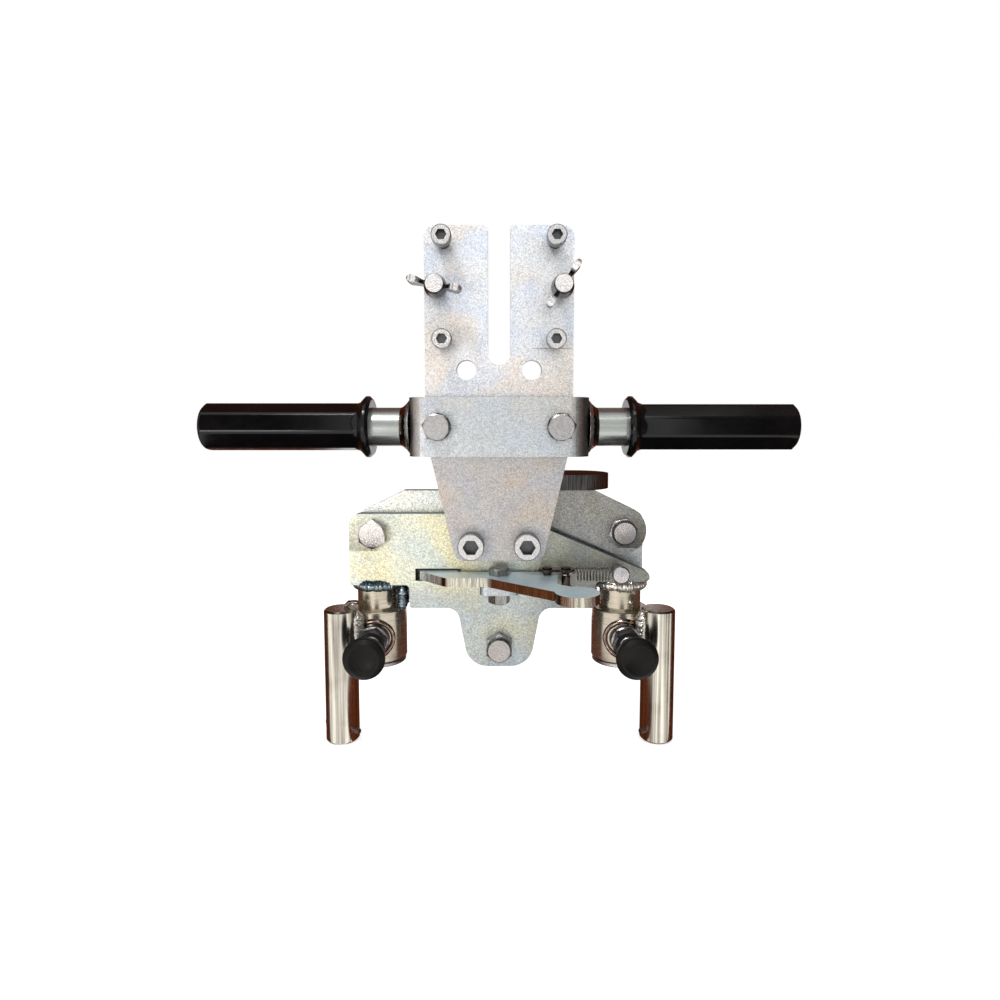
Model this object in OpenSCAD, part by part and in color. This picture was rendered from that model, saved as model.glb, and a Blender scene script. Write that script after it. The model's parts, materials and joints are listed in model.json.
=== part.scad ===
// Kerb lifting clamp: two scissor jaws hang from a yoke plate under a two-handed carrier.
// The origin is midway between the two plain holes of the carrier, on its back face.
// +X is to the right, +Y points away from the operator's side and +Z is up.

/* [Carrier] */
// Width of the carrier's fork
carrier_w = 100; // [94:1:110]
// Thickness of the carrier
carrier_t = 8; // [6:0.5:10]
// Height of the carrier above the plain holes
carrier_top = 95; // [92:1:120]
// Depth of the carrier below the plain holes
carrier_low = 130.5; // [129.5:0.5:131]
// Width of the carrier's lower end
carrier_low_w = 60; // [58:1:70]
// Depth at which the carrier starts to narrow
taper_start = 44; // [30:1:60]
// Radius of the carrier's outer corners
carrier_corner_r = 8; // [3:0.5:10]
// Width of the fork's open slot
slot_w = 15; // [12:0.5:20]
// Height of the slot's round bottom above the plain holes
slot_low = 3.3; // [2:0.1:10]
// Diameter of the plain holes
hole_d = 13.5; // [10:0.5:16]
// Spacing of the plain holes
hole_pitch = 44; // [38:1:48]

/* [Screws on the carrier] */
// Distance of the guide screws from the middle
guide_x = 37; // [30:0.5:39]
// Height of the upper guide screws
guide_high = 83.7; // [76:0.5:86]
// Height of the lower guide screws
guide_low = 18.5; // [16:0.5:24]
// Bare length of a guide screw under its head
guide_stand = 11; // [6:0.5:20]
// Thread diameter of the guide screws
guide_d = 8; // [6:1:8]
// Distance of the wing bolts from the middle
wing_x = 41; // [38:0.5:43]
// Height of the wing bolts
wing_z = 52; // [48:0.5:56]
// Span of the wings
wing_span = 38; // [30:1:42]
// Bare length of a wing bolt in front of the carrier
wing_stand = 12; // [8:0.5:20]

/* [Crossbar] */
// Width over the crossbar's cheeks
bar_w = 123; // [118:1:150]
// Height of the crossbar
bar_h = 40; // [36:1:48]
// Thickness of the crossbar
bar_t = 6; // [5:0.5:8]
// Depth of the crossbar's cheeks, front to back
bar_depth = 42; // [40:1:55]
// Depth of the crossbar's middle below the plain holes
bar_drop = 38.3; // [36:0.1:44]
// Outer bend radius of the crossbar
bar_bend_r = 12; // [8:0.5:14]
// Distance of the crossbar's bolts from the middle
bar_bolt_x = 41.4; // [30:0.1:42]

/* [Handles] */
// Outer diameter of the handle tubes
tube_d = 26.9; // [22:0.1:30]
// Wall of the handle tubes
tube_wall = 2.6; // [2:0.1:4]
// Distance of a handle's outer end from the middle
handle_reach = 205.5; // [200:0.5:260]
// Length of a grip
grip_len = 117; // [100:1:130]
// Width of a grip over its flats
grip_d = 31.5; // [31:0.5:36]
// Diameter of a grip's inner flange
flange_d = 43; // [38:1:50]
// Leg of the weld that joins a handle to its cheek
handle_weld = 6; // [3:0.5:8]

/* [Yoke and jaw plates] */
// Thickness of the yoke and jaw plates
plate_t = 10; // [8:0.5:12]
// Running gap between neighbouring plates
layer_gap = 0.5; // [0.3:0.1:0.8]
// Distance of the jaw pivots from the middle
pivot_x = 88; // [87:0.5:92]
// Depth of the jaw pivots below the plain holes
pivot_drop = 112.5; // [111:0.5:114]
// Diameter of the pivot bolts
pivot_d = 12; // [10:1:12]
// Width of a pivot bolt's head over its flats
pivot_af = 18; // [16:0.5:19]
// Depth of the centre bolt below the plain holes
centre_drop = 193; // [189:0.5:195]
// Radius of the yoke plate's ends
yoke_end_r = 17.5; // [15:0.5:18]
// Depth of the yoke plate's top edge below the plain holes
yoke_top = 83.5; // [82:0.5:85]
// Thickness of the rear lug
lug_t = 11; // [6:0.5:12]
// Depth of the rear lug, front to back
lug_depth = 50; // [40:1:60]

/* [Posts and legs] */
// Diameter of the posts
post_d = 29.5; // [26:0.5:30]
// Depth of a post's top below the plain holes
post_top = 149.5; // [149:0.5:151]
// Outer diameter of the swivel sleeves
sleeve_d = 40.5; // [37:0.5:41]
// Depth of a sleeve's top below the plain holes
sleeve_top = 168.3; // [168:0.1:172]
// Length of a sleeve
sleeve_len = 37; // [35:0.1:44]
// Radial clearance of each turning joint
run_gap = 0.05; // [0.02:0.01:0.1]
// Diameter of the legs
leg_d = 23; // [20:0.5:24]
// Depth of a leg's top below the plain holes
leg_top = 163.8; // [163:0.1:167]
// Length of a leg
leg_len = 93.2; // [75:0.1:130]
// Turn of the left sleeve about its post
left_turn = 1; // [-10:1:10]
// Turn of the right sleeve about its post
right_turn = 1; // [-10:1:10]

/* [Index plungers] */
// Depth of a plunger's axis below its sleeve's top
plunger_drop = 18.7; // [16:0.1:19]
// Diameter of a plunger's pin
plunger_d = 8; // [6:0.5:9]
// Diameter of a plunger's knob
knob_d = 28; // [22:0.5:30]
// Distance of the knob's face from the post's axis
knob_reach = 62; // [56:0.5:70]
// Stroke of a plunger
plunger_stroke = 4; // [3:0.5:5]

/* [Latch lever] */
// Depth of the lever's top face below the plain holes
lever_top = 139; // [138.5:0.5:140]
// Thickness of the lever
lever_t = 6; // [5:0.5:7]
// Distance of the lever's pivot in front of the carrier's back face
lever_front = 11.5; // [11:0.5:13]
// Radius of the lever's thumb lobe
lobe_r = 14; // [11:0.5:15]
// Distance from the lever's pivot to the chain's first pin
ear_x = 33; // [31:0.5:36]
// Pitch of the chain link
chain_pitch = 12.7; // [12:0.1:14]
// Diameter of the chain's pins
chain_pin_d = 4.45; // [4:0.05:5]
// Distance of the spring's anchor screw from the middle
anchor_x = 83; // [82:0.2:90]

/* [Spring] */
// Outer diameter of the spring
spring_d = 10; // [8:0.25:10]
// Wire of the spring
wire_d = 1; // [0.8:0.1:1.2]
// Curls of the spring
curls = 11; // [8:1:12]
// Height of the spring above the middle of the chain's pins
spring_rise = 3.3; // [0:0.1:3.5]

/* [Hidden] */
$fn = 64;

zinc = "#b9bcc0";
steel = "#a8a49c";
dark = "#3a3a3c";
black = "#1c1c1e";
slack = 0.02;

// Layers from front to back: carrier, left jaw, yoke, right jaw
jaw_y_left = layer_gap;
yoke_y = jaw_y_left + plate_t + layer_gap;
jaw_y_right = yoke_y + plate_t + layer_gap;
yoke_back = yoke_y + plate_t;
link_x = 19;
link_drop = 118.9;
link_spacer_d = 16;
link_travel = 4.2;
pivot_nut_t = 12;
link_mid = -lever_top - lever_t / 2;
anchor_z = link_mid + spring_rise;
yoke_shoulder_x = 68;
yoke_inner = [33, -107.5];
lug_x = [-30, 56.5];
centre_washer_d = 34;
lobe = [48, -57.5];
leg_angle = 45;
leg_room = 0.3;

// Jaw plate, drawn for the left jaw
jaw_top = 98.9;
jaw_left = 17.3;
nose_x = 106;
nose_drop = 147;
step_drop = 166;
step_in = 20;
tongue_top_w = 59;
tongue_low_w = 43;
tongue_low = 15;
tongue_r = 16;
window_x = [-59, -27];
window_room = 1.4;

sleeve_low = sleeve_top + sleeve_len;
plunger_z = -(sleeve_top + plunger_drop);
groove_depth = 4;
groove_room = 0.5;
pin_tip = post_d / 2 - groove_depth + 0.4;
boss_end = sleeve_d / 2 + 6;
hex_end = boss_end + 9;
knob_neck = hex_end + plunger_stroke / 4;
knob_t = 13;
cross_pin_d = 4;
cross_pin_len = leg_d + 9;
cross_pin_turn = 33;
grip_turn_left = 33.5;
leg_reach = (sleeve_d + leg_d) / 2;
// The boss of a plunger ends just short of the leg beside it
boss_d = 2 * (leg_reach * sin(leg_angle) - leg_d / 2 - leg_room);

function unit(v) = v / norm(v);
function bend(p, q, s, r, n = 10) =
    let (u = unit(p - q), w = unit(s - q), half = acos(u * w) / 2,
         c = q + unit(u + w) * r / sin(half),
         a = q + u * r / tan(half) - c,
         b = q + w * r / tan(half) - c,
         start = atan2(a.y, a.x),
         turn = (atan2(b.y, b.x) - start + 540) % 360 - 180)
    [for (i = [0:n]) c + r * [cos(start + turn * i / n), sin(start + turn * i / n)]];
function flat2(p) = [p[0], p[1]];
// Outline through corners [x, y, corner radius]
function rounded(pts) = [
    for (i = [0:len(pts) - 1])
        let (n = len(pts), p = pts[i])
        each p[2] == 0 ? [flat2(p)]
            : bend(flat2(pts[(i + n - 1) % n]), flat2(p), flat2(pts[(i + 1) % n]), p[2])
];
// Point where a line from p touches the circle round c; side is 1 or -1
function touch(p, c, r, side) =
    let (v = p - c, a = atan2(v.y, v.x) + side * acos(r / norm(v)))
    c + r * [cos(a), sin(a)];

// A flat shape in X and Z made into a plate from y to y + t
module upright(y, t) {
    translate([0, y + t, 0]) rotate([90, 0, 0]) linear_extrude(t) children();
}
// A shape that stands along +Z, pointed along -Y at [x, y, z]
module facing(p) {
    translate(p) rotate([90, 0, 0]) children();
}
module backing(p) {
    translate(p) rotate([-90, 0, 0]) children();
}
module rod(d, z0, z1, c = 0) {
    rotate_extrude() polygon([[0, z0], [d / 2 - c, z0], [d / 2, z0 + c],
        [d / 2, z1 - c], [d / 2 - c, z1], [0, z1]]);
}
module hex(af, h) {
    intersection() {
        cylinder(d = af / cos(30), h = h, $fn = 6);
        rotate_extrude() polygon([[0, 0], [af, 0], [af, h - (af - 0.47 * af) * 0.58],
            [0.47 * af, h], [0, h]]);
    }
}
// Hex bolt: the head stands on z = 0, the shank runs down
module hex_bolt(d, af, h, len) {
    hex(af, h);
    rod(d, -len, 0.1, 0);
}
module nut(d, af, h) {
    difference() {
        hex(af, h);
        translate([0, 0, -1]) cylinder(d = d, h = h + 2);
    }
}
module lock_nut(d, af, h) {
    difference() {
        union() {
            hex(af, h * 0.62);
            rotate_extrude() polygon([[0, 0], [af * 0.49, 0], [af * 0.49, h * 0.8],
                [af * 0.42, h], [0, h]]);
        }
        translate([0, 0, -1]) cylinder(d = d, h = h + 2);
    }
}
module socket_screw(d, stand, len) {
    head_d = 1.5 * d + (d < 10 ? 1 : 0);
    difference() {
        union() {
            rod(head_d, stand, stand + d, 0.6);
            rod(d, -len, stand + 0.1, 0);
        }
        translate([0, 0, stand + d * 0.45]) cylinder(d = d * 0.92, h = d, $fn = 6);
    }
}
module washer(d, hole, t) {
    difference() {
        rod(d, 0, t, 0.3);
        translate([0, 0, -1]) cylinder(d = hole, h = t + 2);
    }
}
// Carrier
module carrier_outline() {
    low = carrier_low_w / 2;
    difference() {
        polygon(rounded([
            [-carrier_w / 2, carrier_top, carrier_corner_r],
            [-slot_w / 2, carrier_top, 2],
            [-slot_w / 2, slot_low + slot_w / 2, 0],
            [slot_w / 2, slot_low + slot_w / 2, 0],
            [slot_w / 2, carrier_top, 2],
            [carrier_w / 2, carrier_top, carrier_corner_r],
            [carrier_w / 2, -taper_start, 0],
            [low, -carrier_low, carrier_corner_r],
            [-low, -carrier_low, carrier_corner_r],
            [-carrier_w / 2, -taper_start, 0]
        ]));
        translate([0, slot_low + slot_w / 2]) circle(d = slot_w);
    }
}
module carrier_hole(x, z, d) {
    backing([x, -carrier_t - 1, z]) cylinder(d = d, h = carrier_t + 2);
}
module carrier_plate() {
    color(zinc) difference() {
        upright(-carrier_t, carrier_t) carrier_outline();
        for (s = [-1, 1]) {
            carrier_hole(s * hole_pitch / 2, 0, hole_d);
            carrier_hole(s * guide_x, guide_high, guide_d + slack);
            carrier_hole(s * guide_x, guide_low, guide_d + slack);
            carrier_hole(s * wing_x, wing_z, guide_d + 2 * run_gap);
            carrier_hole(s * bar_bolt_x, -bar_drop, 10 + slack);
            carrier_hole(s * link_x, -link_drop, 12 + slack);
        }
    }
}
module guide_screws() {
    color("silver") for (s = [-1, 1], z = [guide_low, guide_high])
        facing([s * guide_x, -carrier_t, z]) socket_screw(guide_d, guide_stand, carrier_t);
}
module wing_bolt(angle) {
    wing_t = 4.8;
    tip = wing_span / 2;
    color("silver") {
        rod(guide_d, -carrier_t, wing_stand + 1, 0);
        rotate_extrude() polygon([[0, wing_stand], [7.4, wing_stand], [7.4, wing_stand + 4],
            [6.4, wing_stand + 11], [5.6, wing_stand + 13], [0, wing_stand + 13]]);
        rotate([0, 0, angle]) for (a = [0, 180]) rotate([0, 0, a])
            intersection() {
                translate([0, wing_t / 2, 0]) rotate([90, 0, 0]) linear_extrude(wing_t)
                    polygon(rounded([
                        [3, wing_stand + 0.5, 0], [6, wing_stand + 0.5, 0],
                        [tip - 2.5, wing_stand + 5, 4], [tip, wing_stand + 15, 3.6],
                        [tip - 8, wing_stand + 15, 3.4],
                        [7, wing_stand + 8.5, 3], [3, wing_stand + 10, 0]
                    ]));
                linear_extrude(wing_stand + 20) polygon(rounded([
                    [2, -1.8, 0], [8, -1.3, 2], [tip - 4, -wing_t / 2, 3], [tip + 0.4, 0, 1.5],
                    [tip - 4, wing_t / 2, 3], [8, 1.3, 2], [2, 1.8, 0]
                ]));
            }
    }
}
module wing_bolt_left() {
    facing([-wing_x, -carrier_t, wing_z]) wing_bolt(-11);
}
module wing_bolt_right() {
    facing([wing_x, -carrier_t, wing_z]) wing_bolt(55);
}

// Crossbar and handles
bar_front = -carrier_t - bar_t;
tube_y = bar_front + bar_depth - 20;
module crossbar() {
    w = bar_w / 2;
    color(zinc) difference() {
        translate([0, 0, -bar_drop - bar_h / 2]) linear_extrude(bar_h) polygon(rounded([
            [-w, bar_front, bar_bend_r], [w, bar_front, bar_bend_r],
            [w, bar_front + bar_depth, 2], [w - bar_t, bar_front + bar_depth, 1],
            [w - bar_t, -carrier_t, bar_bend_r - bar_t], [bar_t - w, -carrier_t, bar_bend_r - bar_t],
            [bar_t - w, bar_front + bar_depth, 1], [-w, bar_front + bar_depth, 2]
        ]));
        for (s = [-1, 1]) backing([s * bar_bolt_x, bar_front - 1, -bar_drop])
            cylinder(d = 10 + slack, h = bar_t + 2);
    }
}
module crossbar_bolts() {
    color("silver") for (s = [-1, 1]) facing([s * bar_bolt_x, bar_front - 2, -bar_drop])
        rotate([0, 0, 8 * s]) {
            hex_bolt(10, 17, 6.4, bar_t + carrier_t + 1.5);
            translate([0, 0, -2]) washer(18.5, 10 + slack, 2);
        }
}
// A handle stands along +Z here and is turned to +X or -X
module outward(s) {
    translate([s * bar_w / 2, tube_y, -bar_drop]) rotate([0, s * 90, 0]) children();
}
tube_len = handle_reach - bar_w / 2 - 3;
module handle_tube() {
    r = tube_d / 2;
    color(zinc) rotate_extrude() polygon([
        [r - tube_wall, 0], [r + handle_weld, 0], [r + handle_weld * 0.8, 1.6],
        [r + handle_weld * 0.35, handle_weld * 0.6], [r, handle_weld],
        [r, tube_len], [r - tube_wall, tube_len]
    ]);
}
module handle_tube_left() {
    outward(-1) handle_tube();
}
module handle_tube_right() {
    outward(1) handle_tube();
}
module grip(turn) {
    out = handle_reach - bar_w / 2;
    start = out - grip_len;
    r = grip_d / 2;
    color(black) difference() {
        union() {
            intersection() {
                rotate([0, 0, turn]) translate([0, 0, start])
                    cylinder(d = grip_d / cos(22.5), h = grip_len, $fn = 8);
                rotate_extrude() polygon([[0, start], [r + 0.9, start], [r + 0.9, out - 2],
                    [r - 1, out], [0, out]]);
            }
            rotate_extrude() polygon([[0, start], [flange_d / 2 - 2, start],
                [flange_d / 2, start + 2], [flange_d / 2, start + 4], [flange_d / 2 - 2, start + 6],
                [r + 1.5, start + 8], [r, start + 12], [0, start + 12]]);
        }
        translate([0, 0, start - 1]) cylinder(d = tube_d + slack, h = tube_len - start + 1.2);
    }
}
module grip_left() {
    outward(-1) grip(grip_turn_left);
}
module grip_right() {
    outward(1) grip(22.5);
}

// Yoke plate, bolted behind the carrier
module yoke_outline() {
    c = [pivot_x, -pivot_drop];
    shoulder = [yoke_shoulder_x, -yoke_top];
    inner = yoke_inner;
    top = touch(shoulder, c, yoke_end_r, -1) - c;
    low = touch(inner, c, yoke_end_r, 1) - c;
    start = atan2(top.y, top.x);
    sweep = (atan2(low.y, low.x) - start - 360) % 360;
    end = [for (i = [0:28]) c + yoke_end_r
        * [cos(start + sweep * i / 28), sin(start + sweep * i / 28)]];
    half = rounded(concat([[shoulder.x, shoulder.y, 0]], [for (p = end) [p.x, p.y, 0]],
        [[inner.x, inner.y, 0], [inner.x - 4, -carrier_low, 0]]));
    polygon(concat(half, [for (i = [len(half) - 1:-1:0]) [-half[i].x, half[i].y]]));
}
module yoke_plate() {
    color(zinc) difference() {
        upright(yoke_y, plate_t) yoke_outline();
        for (s = [-1, 1]) {
            backing([s * pivot_x, yoke_y - 1, -pivot_drop])
                cylinder(d = pivot_d + slack, h = plate_t + 2);
            backing([s * link_x, yoke_y - 1, -link_drop])
                cylinder(d = 12 + slack, h = plate_t + 2);
        }
    }
}
module link_screws() {
    color("silver") for (s = [-1, 1]) facing([s * link_x, -carrier_t, -link_drop])
        socket_screw(12, 0, carrier_t + yoke_back - 0.5);
}
module link_spacers() {
    color(steel) for (s = [-1, 1]) backing([s * link_x, 0, -link_drop])
        washer(link_spacer_d, 12 + slack, yoke_y);
}
module rear_lug() {
    r = lug_depth / 2;
    color(zinc) translate([0, 0, -yoke_top]) linear_extrude(lug_t) {
        translate([lug_x[0], yoke_y]) square([lug_x[1] - lug_x[0], lug_depth]);
        translate([lug_x[1], yoke_y + r]) circle(r = r);
    }
}

// Jaw pivots: the left bolt enters from the front, the right one from behind
module pivot_bolt_left() {
    color("silver") facing([-pivot_x, jaw_y_left, -pivot_drop]) rotate([0, 0, 30])
        hex_bolt(pivot_d, pivot_af, 7.5, yoke_back - jaw_y_left + pivot_nut_t);
}
module pivot_nut_left() {
    color("silver") backing([-pivot_x, yoke_back, -pivot_drop])
        lock_nut(pivot_d + slack, pivot_af, pivot_nut_t - 1);
}
module pivot_bolt_right() {
    color("silver") backing([pivot_x, jaw_y_right + plate_t, -pivot_drop]) rotate([0, 0, 30])
        hex_bolt(pivot_d, pivot_af, 7.5, jaw_y_right + plate_t - yoke_y + pivot_nut_t);
}
module pivot_nut_right() {
    color("silver") facing([pivot_x, yoke_y, -pivot_drop]) rotate([0, 0, 12])
        lock_nut(pivot_d + slack, pivot_af, pivot_nut_t);
}

// Jaw plates: the right one is the left one turned over
module jaw_outline() {
    x0 = -pivot_x - jaw_left;
    slope_start = [8, -jaw_top];
    post_in = -pivot_x + post_d / 2 + 10;
    polygon(rounded([
        [x0, -jaw_top, 8], [slope_start.x, slope_start.y, 10],
        [nose_x, -jaw_top - (nose_x - slope_start.x) * 0.425, 5], [nose_x, -nose_drop, 3],
        [pivot_x - step_in, -nose_drop, 3], [pivot_x - step_in, -step_drop, 3],
        [tongue_top_w / 2, -step_drop, 9], [tongue_low_w / 2, -centre_drop - tongue_low, tongue_r],
        [-tongue_low_w / 2, -centre_drop - tongue_low, tongue_r], [-tongue_top_w / 2, -step_drop, 9],
        [post_in, -step_drop, 2], [post_in, -post_top, 3], [x0, -post_top, 2]
    ]));
}
module jaw_blank(y) {
    difference() {
        upright(y, plate_t) jaw_outline();
        backing([-pivot_x, y - 1, -pivot_drop])
            cylinder(d = pivot_d + 2 * run_gap, h = plate_t + 2);
    }
}
module jaw_plate_left() {
    color(zinc) difference() {
        jaw_blank(jaw_y_left);
        backing([0, jaw_y_left - 1, -centre_drop]) cylinder(d = pivot_d + slack, h = plate_t + 2);
        for (s = [-1, 1], z = [-link_travel, link_travel])
            backing([s * link_x, jaw_y_left - 1, z - link_drop])
                cylinder(d = link_spacer_d + 1.6, h = plate_t + 2);
        for (s = [-1, 1]) translate([s * link_x, jaw_y_left + plate_t / 2, -link_drop])
            cube([link_spacer_d + 1.6, plate_t + 2, 2 * link_travel], center = true);
        translate([window_x[0], jaw_y_left - 1, -lever_top - lever_t - window_room])
            cube([window_x[1] - window_x[0], plate_t + 2, lever_t + 2 * window_room]);
        backing([anchor_x, jaw_y_left - 1, anchor_z]) cylinder(d = 6 + slack, h = plate_t + 2);
    }
}
// The centre bolt slides in a level slot of the right jaw
centre_travel = 5.8;
module jaw_plate_right() {
    color(zinc) mirror([1, 0, 0]) difference() {
        jaw_blank(jaw_y_right);
        for (s = [-1, 1]) backing([s * centre_travel, jaw_y_right - 1, -centre_drop])
            cylinder(d = pivot_d + 1.6, h = plate_t + 2);
        translate([0, jaw_y_right + plate_t / 2, -centre_drop])
            cube([2 * centre_travel, plate_t + 2, pivot_d + 1.6], center = true);
    }
}
module centre_bolt() {
    back = jaw_y_right + plate_t + 3.3;
    color("silver") backing([0, back, -centre_drop])
        hex_bolt(pivot_d, pivot_af, 7.5, back - jaw_y_left + 12.2);
}
module centre_nut() {
    color("silver") facing([0, jaw_y_left, -centre_drop]) rotate([0, 0, 30])
        lock_nut(pivot_d + slack, pivot_af, 12);
}
module centre_spacer() {
    color(steel) backing([0, jaw_y_left + plate_t, -centre_drop])
        washer(20, pivot_d + slack, plate_t + 2 * layer_gap - 0.3);
}
module centre_washer() {
    color("silver") backing([0, jaw_y_right + plate_t + 0.3, -centre_drop])
        washer(centre_washer_d, pivot_d + slack, 3);
}

// Posts, sleeves and legs. at_post moves a shape to the post of side s
// Both posts stand in the middle of the stack of plates, so the legs share one plane
post_y = yoke_y + plate_t / 2;
module at_post(s) {
    translate([s * pivot_x, post_y, 0]) children();
}
module on_sleeve(s) {
    at_post(s) rotate([0, 0, s < 0 ? left_turn : right_turn]) children();
}
module post(s) {
    groove = plunger_d + 2 * groove_room;
    r = post_d / 2;
    color(steel) at_post(s) rotate_extrude() polygon([
        [0, -post_top], [r, -post_top],
        [r, plunger_z + groove / 2], [r - groove_depth, plunger_z + groove / 2],
        [r - groove_depth, plunger_z - groove / 2], [r, plunger_z - groove / 2],
        [r, -sleeve_low - 0.3], [0, -sleeve_low - 0.3]
    ]);
}
module post_left() {
    difference() {
        post(-1);
        at_post(-1) translate([0, 0, -sleeve_low - 1]) cylinder(d = 6, h = 13);
    }
}
module post_right() {
    difference() {
        post(1);
        at_post(1) translate([0, 0, -sleeve_low - 1]) cylinder(d = 6, h = 13);
    }
}
module end_washer(s) {
    color("silver") at_post(s) translate([0, 0, -sleeve_low - 0.3 - 2.5])
        washer(sleeve_d - 1.5, 6, 2.5);
}
module end_washer_left() {
    end_washer(-1);
}
module end_washer_right() {
    end_washer(1);
}
module end_screw(s) {
    color("silver") at_post(s) translate([0, 0, -sleeve_low - 2.8]) rotate([180, 0, 0]) difference() {
        union() {
            rotate_extrude() polygon([[0, 0], [5.2, 0], [5, 1.6], [3.6, 3.1], [0, 3.3]]);
            rod(6 - slack, -13, 0.1, 0);
        }
        translate([0, 0, 1.4]) cylinder(d = 4.6, h = 4, $fn = 6);
    }
}
module end_screw_left() {
    end_screw(-1);
}
module end_screw_right() {
    end_screw(1);
}
module sleeve(s) {
    r = sleeve_d / 2;
    bore = post_d / 2 + run_gap;
    color(steel) on_sleeve(s) difference() {
        rotate_extrude() polygon([
            [bore, -sleeve_top], [r - 0.8, -sleeve_top], [r, -sleeve_top - 0.8],
            [r, -sleeve_low + 1.2], [r - 1.2, -sleeve_low], [bore, -sleeve_low]
        ]);
        facing([0, 0, plunger_z]) cylinder(d = 14, h = sleeve_d);
    }
}
module sleeve_left() {
    sleeve(-1);
}
module sleeve_right() {
    sleeve(1);
}
// A leg stands at leg_angle outward of its plunger
module on_leg(s) {
    on_sleeve(s) translate([s * leg_reach * sin(leg_angle), -leg_reach * cos(leg_angle), 0])
        children();
}
cross_pin_z = -leg_top - leg_len + 8.5;
module leg(s) {
    color(steel) on_leg(s) difference() {
        rod(leg_d, -leg_top - leg_len, -leg_top, 1.2);
        translate([0, 0, cross_pin_z]) rotate([0, 90, cross_pin_turn * s])
            cylinder(d = cross_pin_d, h = leg_d + 2, center = true);
    }
}
module leg_left() {
    leg(-1);
}
module leg_right() {
    leg(1);
}
module cross_pin(s) {
    color(steel) on_leg(s) translate([0, 0, cross_pin_z]) rotate([0, 90, cross_pin_turn * s])
        rod(cross_pin_d - slack, -cross_pin_len / 2, cross_pin_len / 2, 0.5);
}
module cross_pin_left() {
    cross_pin(-1);
}
module cross_pin_right() {
    cross_pin(1);
}

// Index plungers, along -Y of their sleeve
module plunger(s) {
    on_sleeve(s) facing([0, 0, plunger_z]) children();
}
module plunger_body(s) {
    inner = post_d / 2 + 1;
    color("silver") plunger(s) difference() {
        union() {
            rod(14 - slack, inner, boss_end, 0);
            intersection() {
                rod(boss_d, inner, boss_end, 0.8);
                difference() {
                    cylinder(d = sleeve_d * 2, h = sleeve_d);
                    rotate([90, 0, 0]) cylinder(d = sleeve_d, h = sleeve_d, center = true);
                }
            }
            rod(13, inner, hex_end, 0.5);
        }
        translate([0, 0, inner - 1]) cylinder(d = plunger_d + 2 * run_gap, h = hex_end);
    }
}
module plunger_body_left() {
    plunger_body(-1);
}
module plunger_body_right() {
    plunger_body(1);
}
module plunger_nut(s) {
    color(dark) plunger(s) translate([0, 0, boss_end]) rotate([0, 0, 15]) nut(13, 19, 7);
}
module plunger_nut_left() {
    plunger_nut(-1);
}
module plunger_nut_right() {
    plunger_nut(1);
}
module plunger_pin(s) {
    color(steel) plunger(s) rod(plunger_d, pin_tip, knob_reach - 6, 0.8);
}
module plunger_pin_left() {
    plunger_pin(-1);
}
module plunger_pin_right() {
    plunger_pin(1);
}
module plunger_knob(s) {
    r = knob_d / 2;
    front = knob_reach;
    color(black) plunger(s) difference() {
        rotate_extrude() polygon(concat(
            [[0, knob_neck], [6.6, knob_neck], [7, knob_neck + 1], [6.4, front - knob_t - 4]],
            rounded([[6.4, front - knob_t, 0], [r - 1, front - knob_t + 3.5, 3],
                [r, front - 3, 2.5], [r - 4, front, 2], [r - 6, front - 1.2, 0]]),
            [for (i = [6:-1:0]) [(r - 6) * i / 6, front - 1.2 - 1.8 * (1 - pow(i / 6, 2))]]
        ));
        translate([0, 0, knob_neck - 1]) cylinder(d = plunger_d + slack,
            h = knob_reach - 5.9 - knob_neck + 1);
    }
}
module plunger_knob_left() {
    plunger_knob(-1);
}
module plunger_knob_right() {
    plunger_knob(1);
}

// Latch lever: a level plate on a bracket of the left jaw, its tip in the jaw's window
lever_low = -lever_top - lever_t;
module lever_outline() {
    back = 8 - lever_front;
    polygon(rounded([
        [window_x[0] + 3, 15, 3], [window_x[0] + 3, -1, 3], [-36, -22, 2], [-8.4, -22, 6],
        [lobe.x - lobe_r + 1, lobe.y, 0], [lobe.x, lobe.y, 0], [lobe.x - 2, lobe.y + lobe_r - 1, 0],
        [ear_x + 4.5, lobe.y + 19, 4], [ear_x + 8, back, 6], [window_x[1] - 2, back, 2], [window_x[1] - 3, 15, 3]
    ]));
    translate(lobe) circle(r = lobe_r);
}
module latch_lever() {
    color(zinc) translate([0, 0, lever_low]) difference() {
        linear_extrude(lever_t) lever_outline();
        translate([0, -lever_front, -1]) cylinder(d = 8 + 2 * run_gap, h = lever_t + 2);
        translate([ear_x, -lever_front, -1])
            cylinder(d = chain_pin_d + 2 * run_gap, h = lever_t + 2);
    }
}
module lever_bracket() {
    w = 26;
    bracket_t = 6;
    color(zinc) translate([0, 0, lever_low - bracket_t]) difference() {
        linear_extrude(bracket_t) polygon(rounded([
            [-w / 2, jaw_y_left, 0], [w / 2, jaw_y_left, 0],
            [w / 2, -lever_front - 11, 5], [-w / 2, -lever_front - 11, 5]
        ]));
        translate([0, -lever_front, -1]) cylinder(d = 8 + slack, h = bracket_t + 2);
    }
}
module lever_bolt() {
    color("silver") translate([0, -lever_front, -lever_top]) rotate([0, 0, 20])
        hex_bolt(8, 13, 4.8, lever_t + 6 + 8.5);
}
module lever_nut() {
    color(zinc) translate([0, -lever_front, lever_low - 6]) rotate([180, 0, 10])
        nut(8 + slack, 13, 7.5);
}

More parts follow.
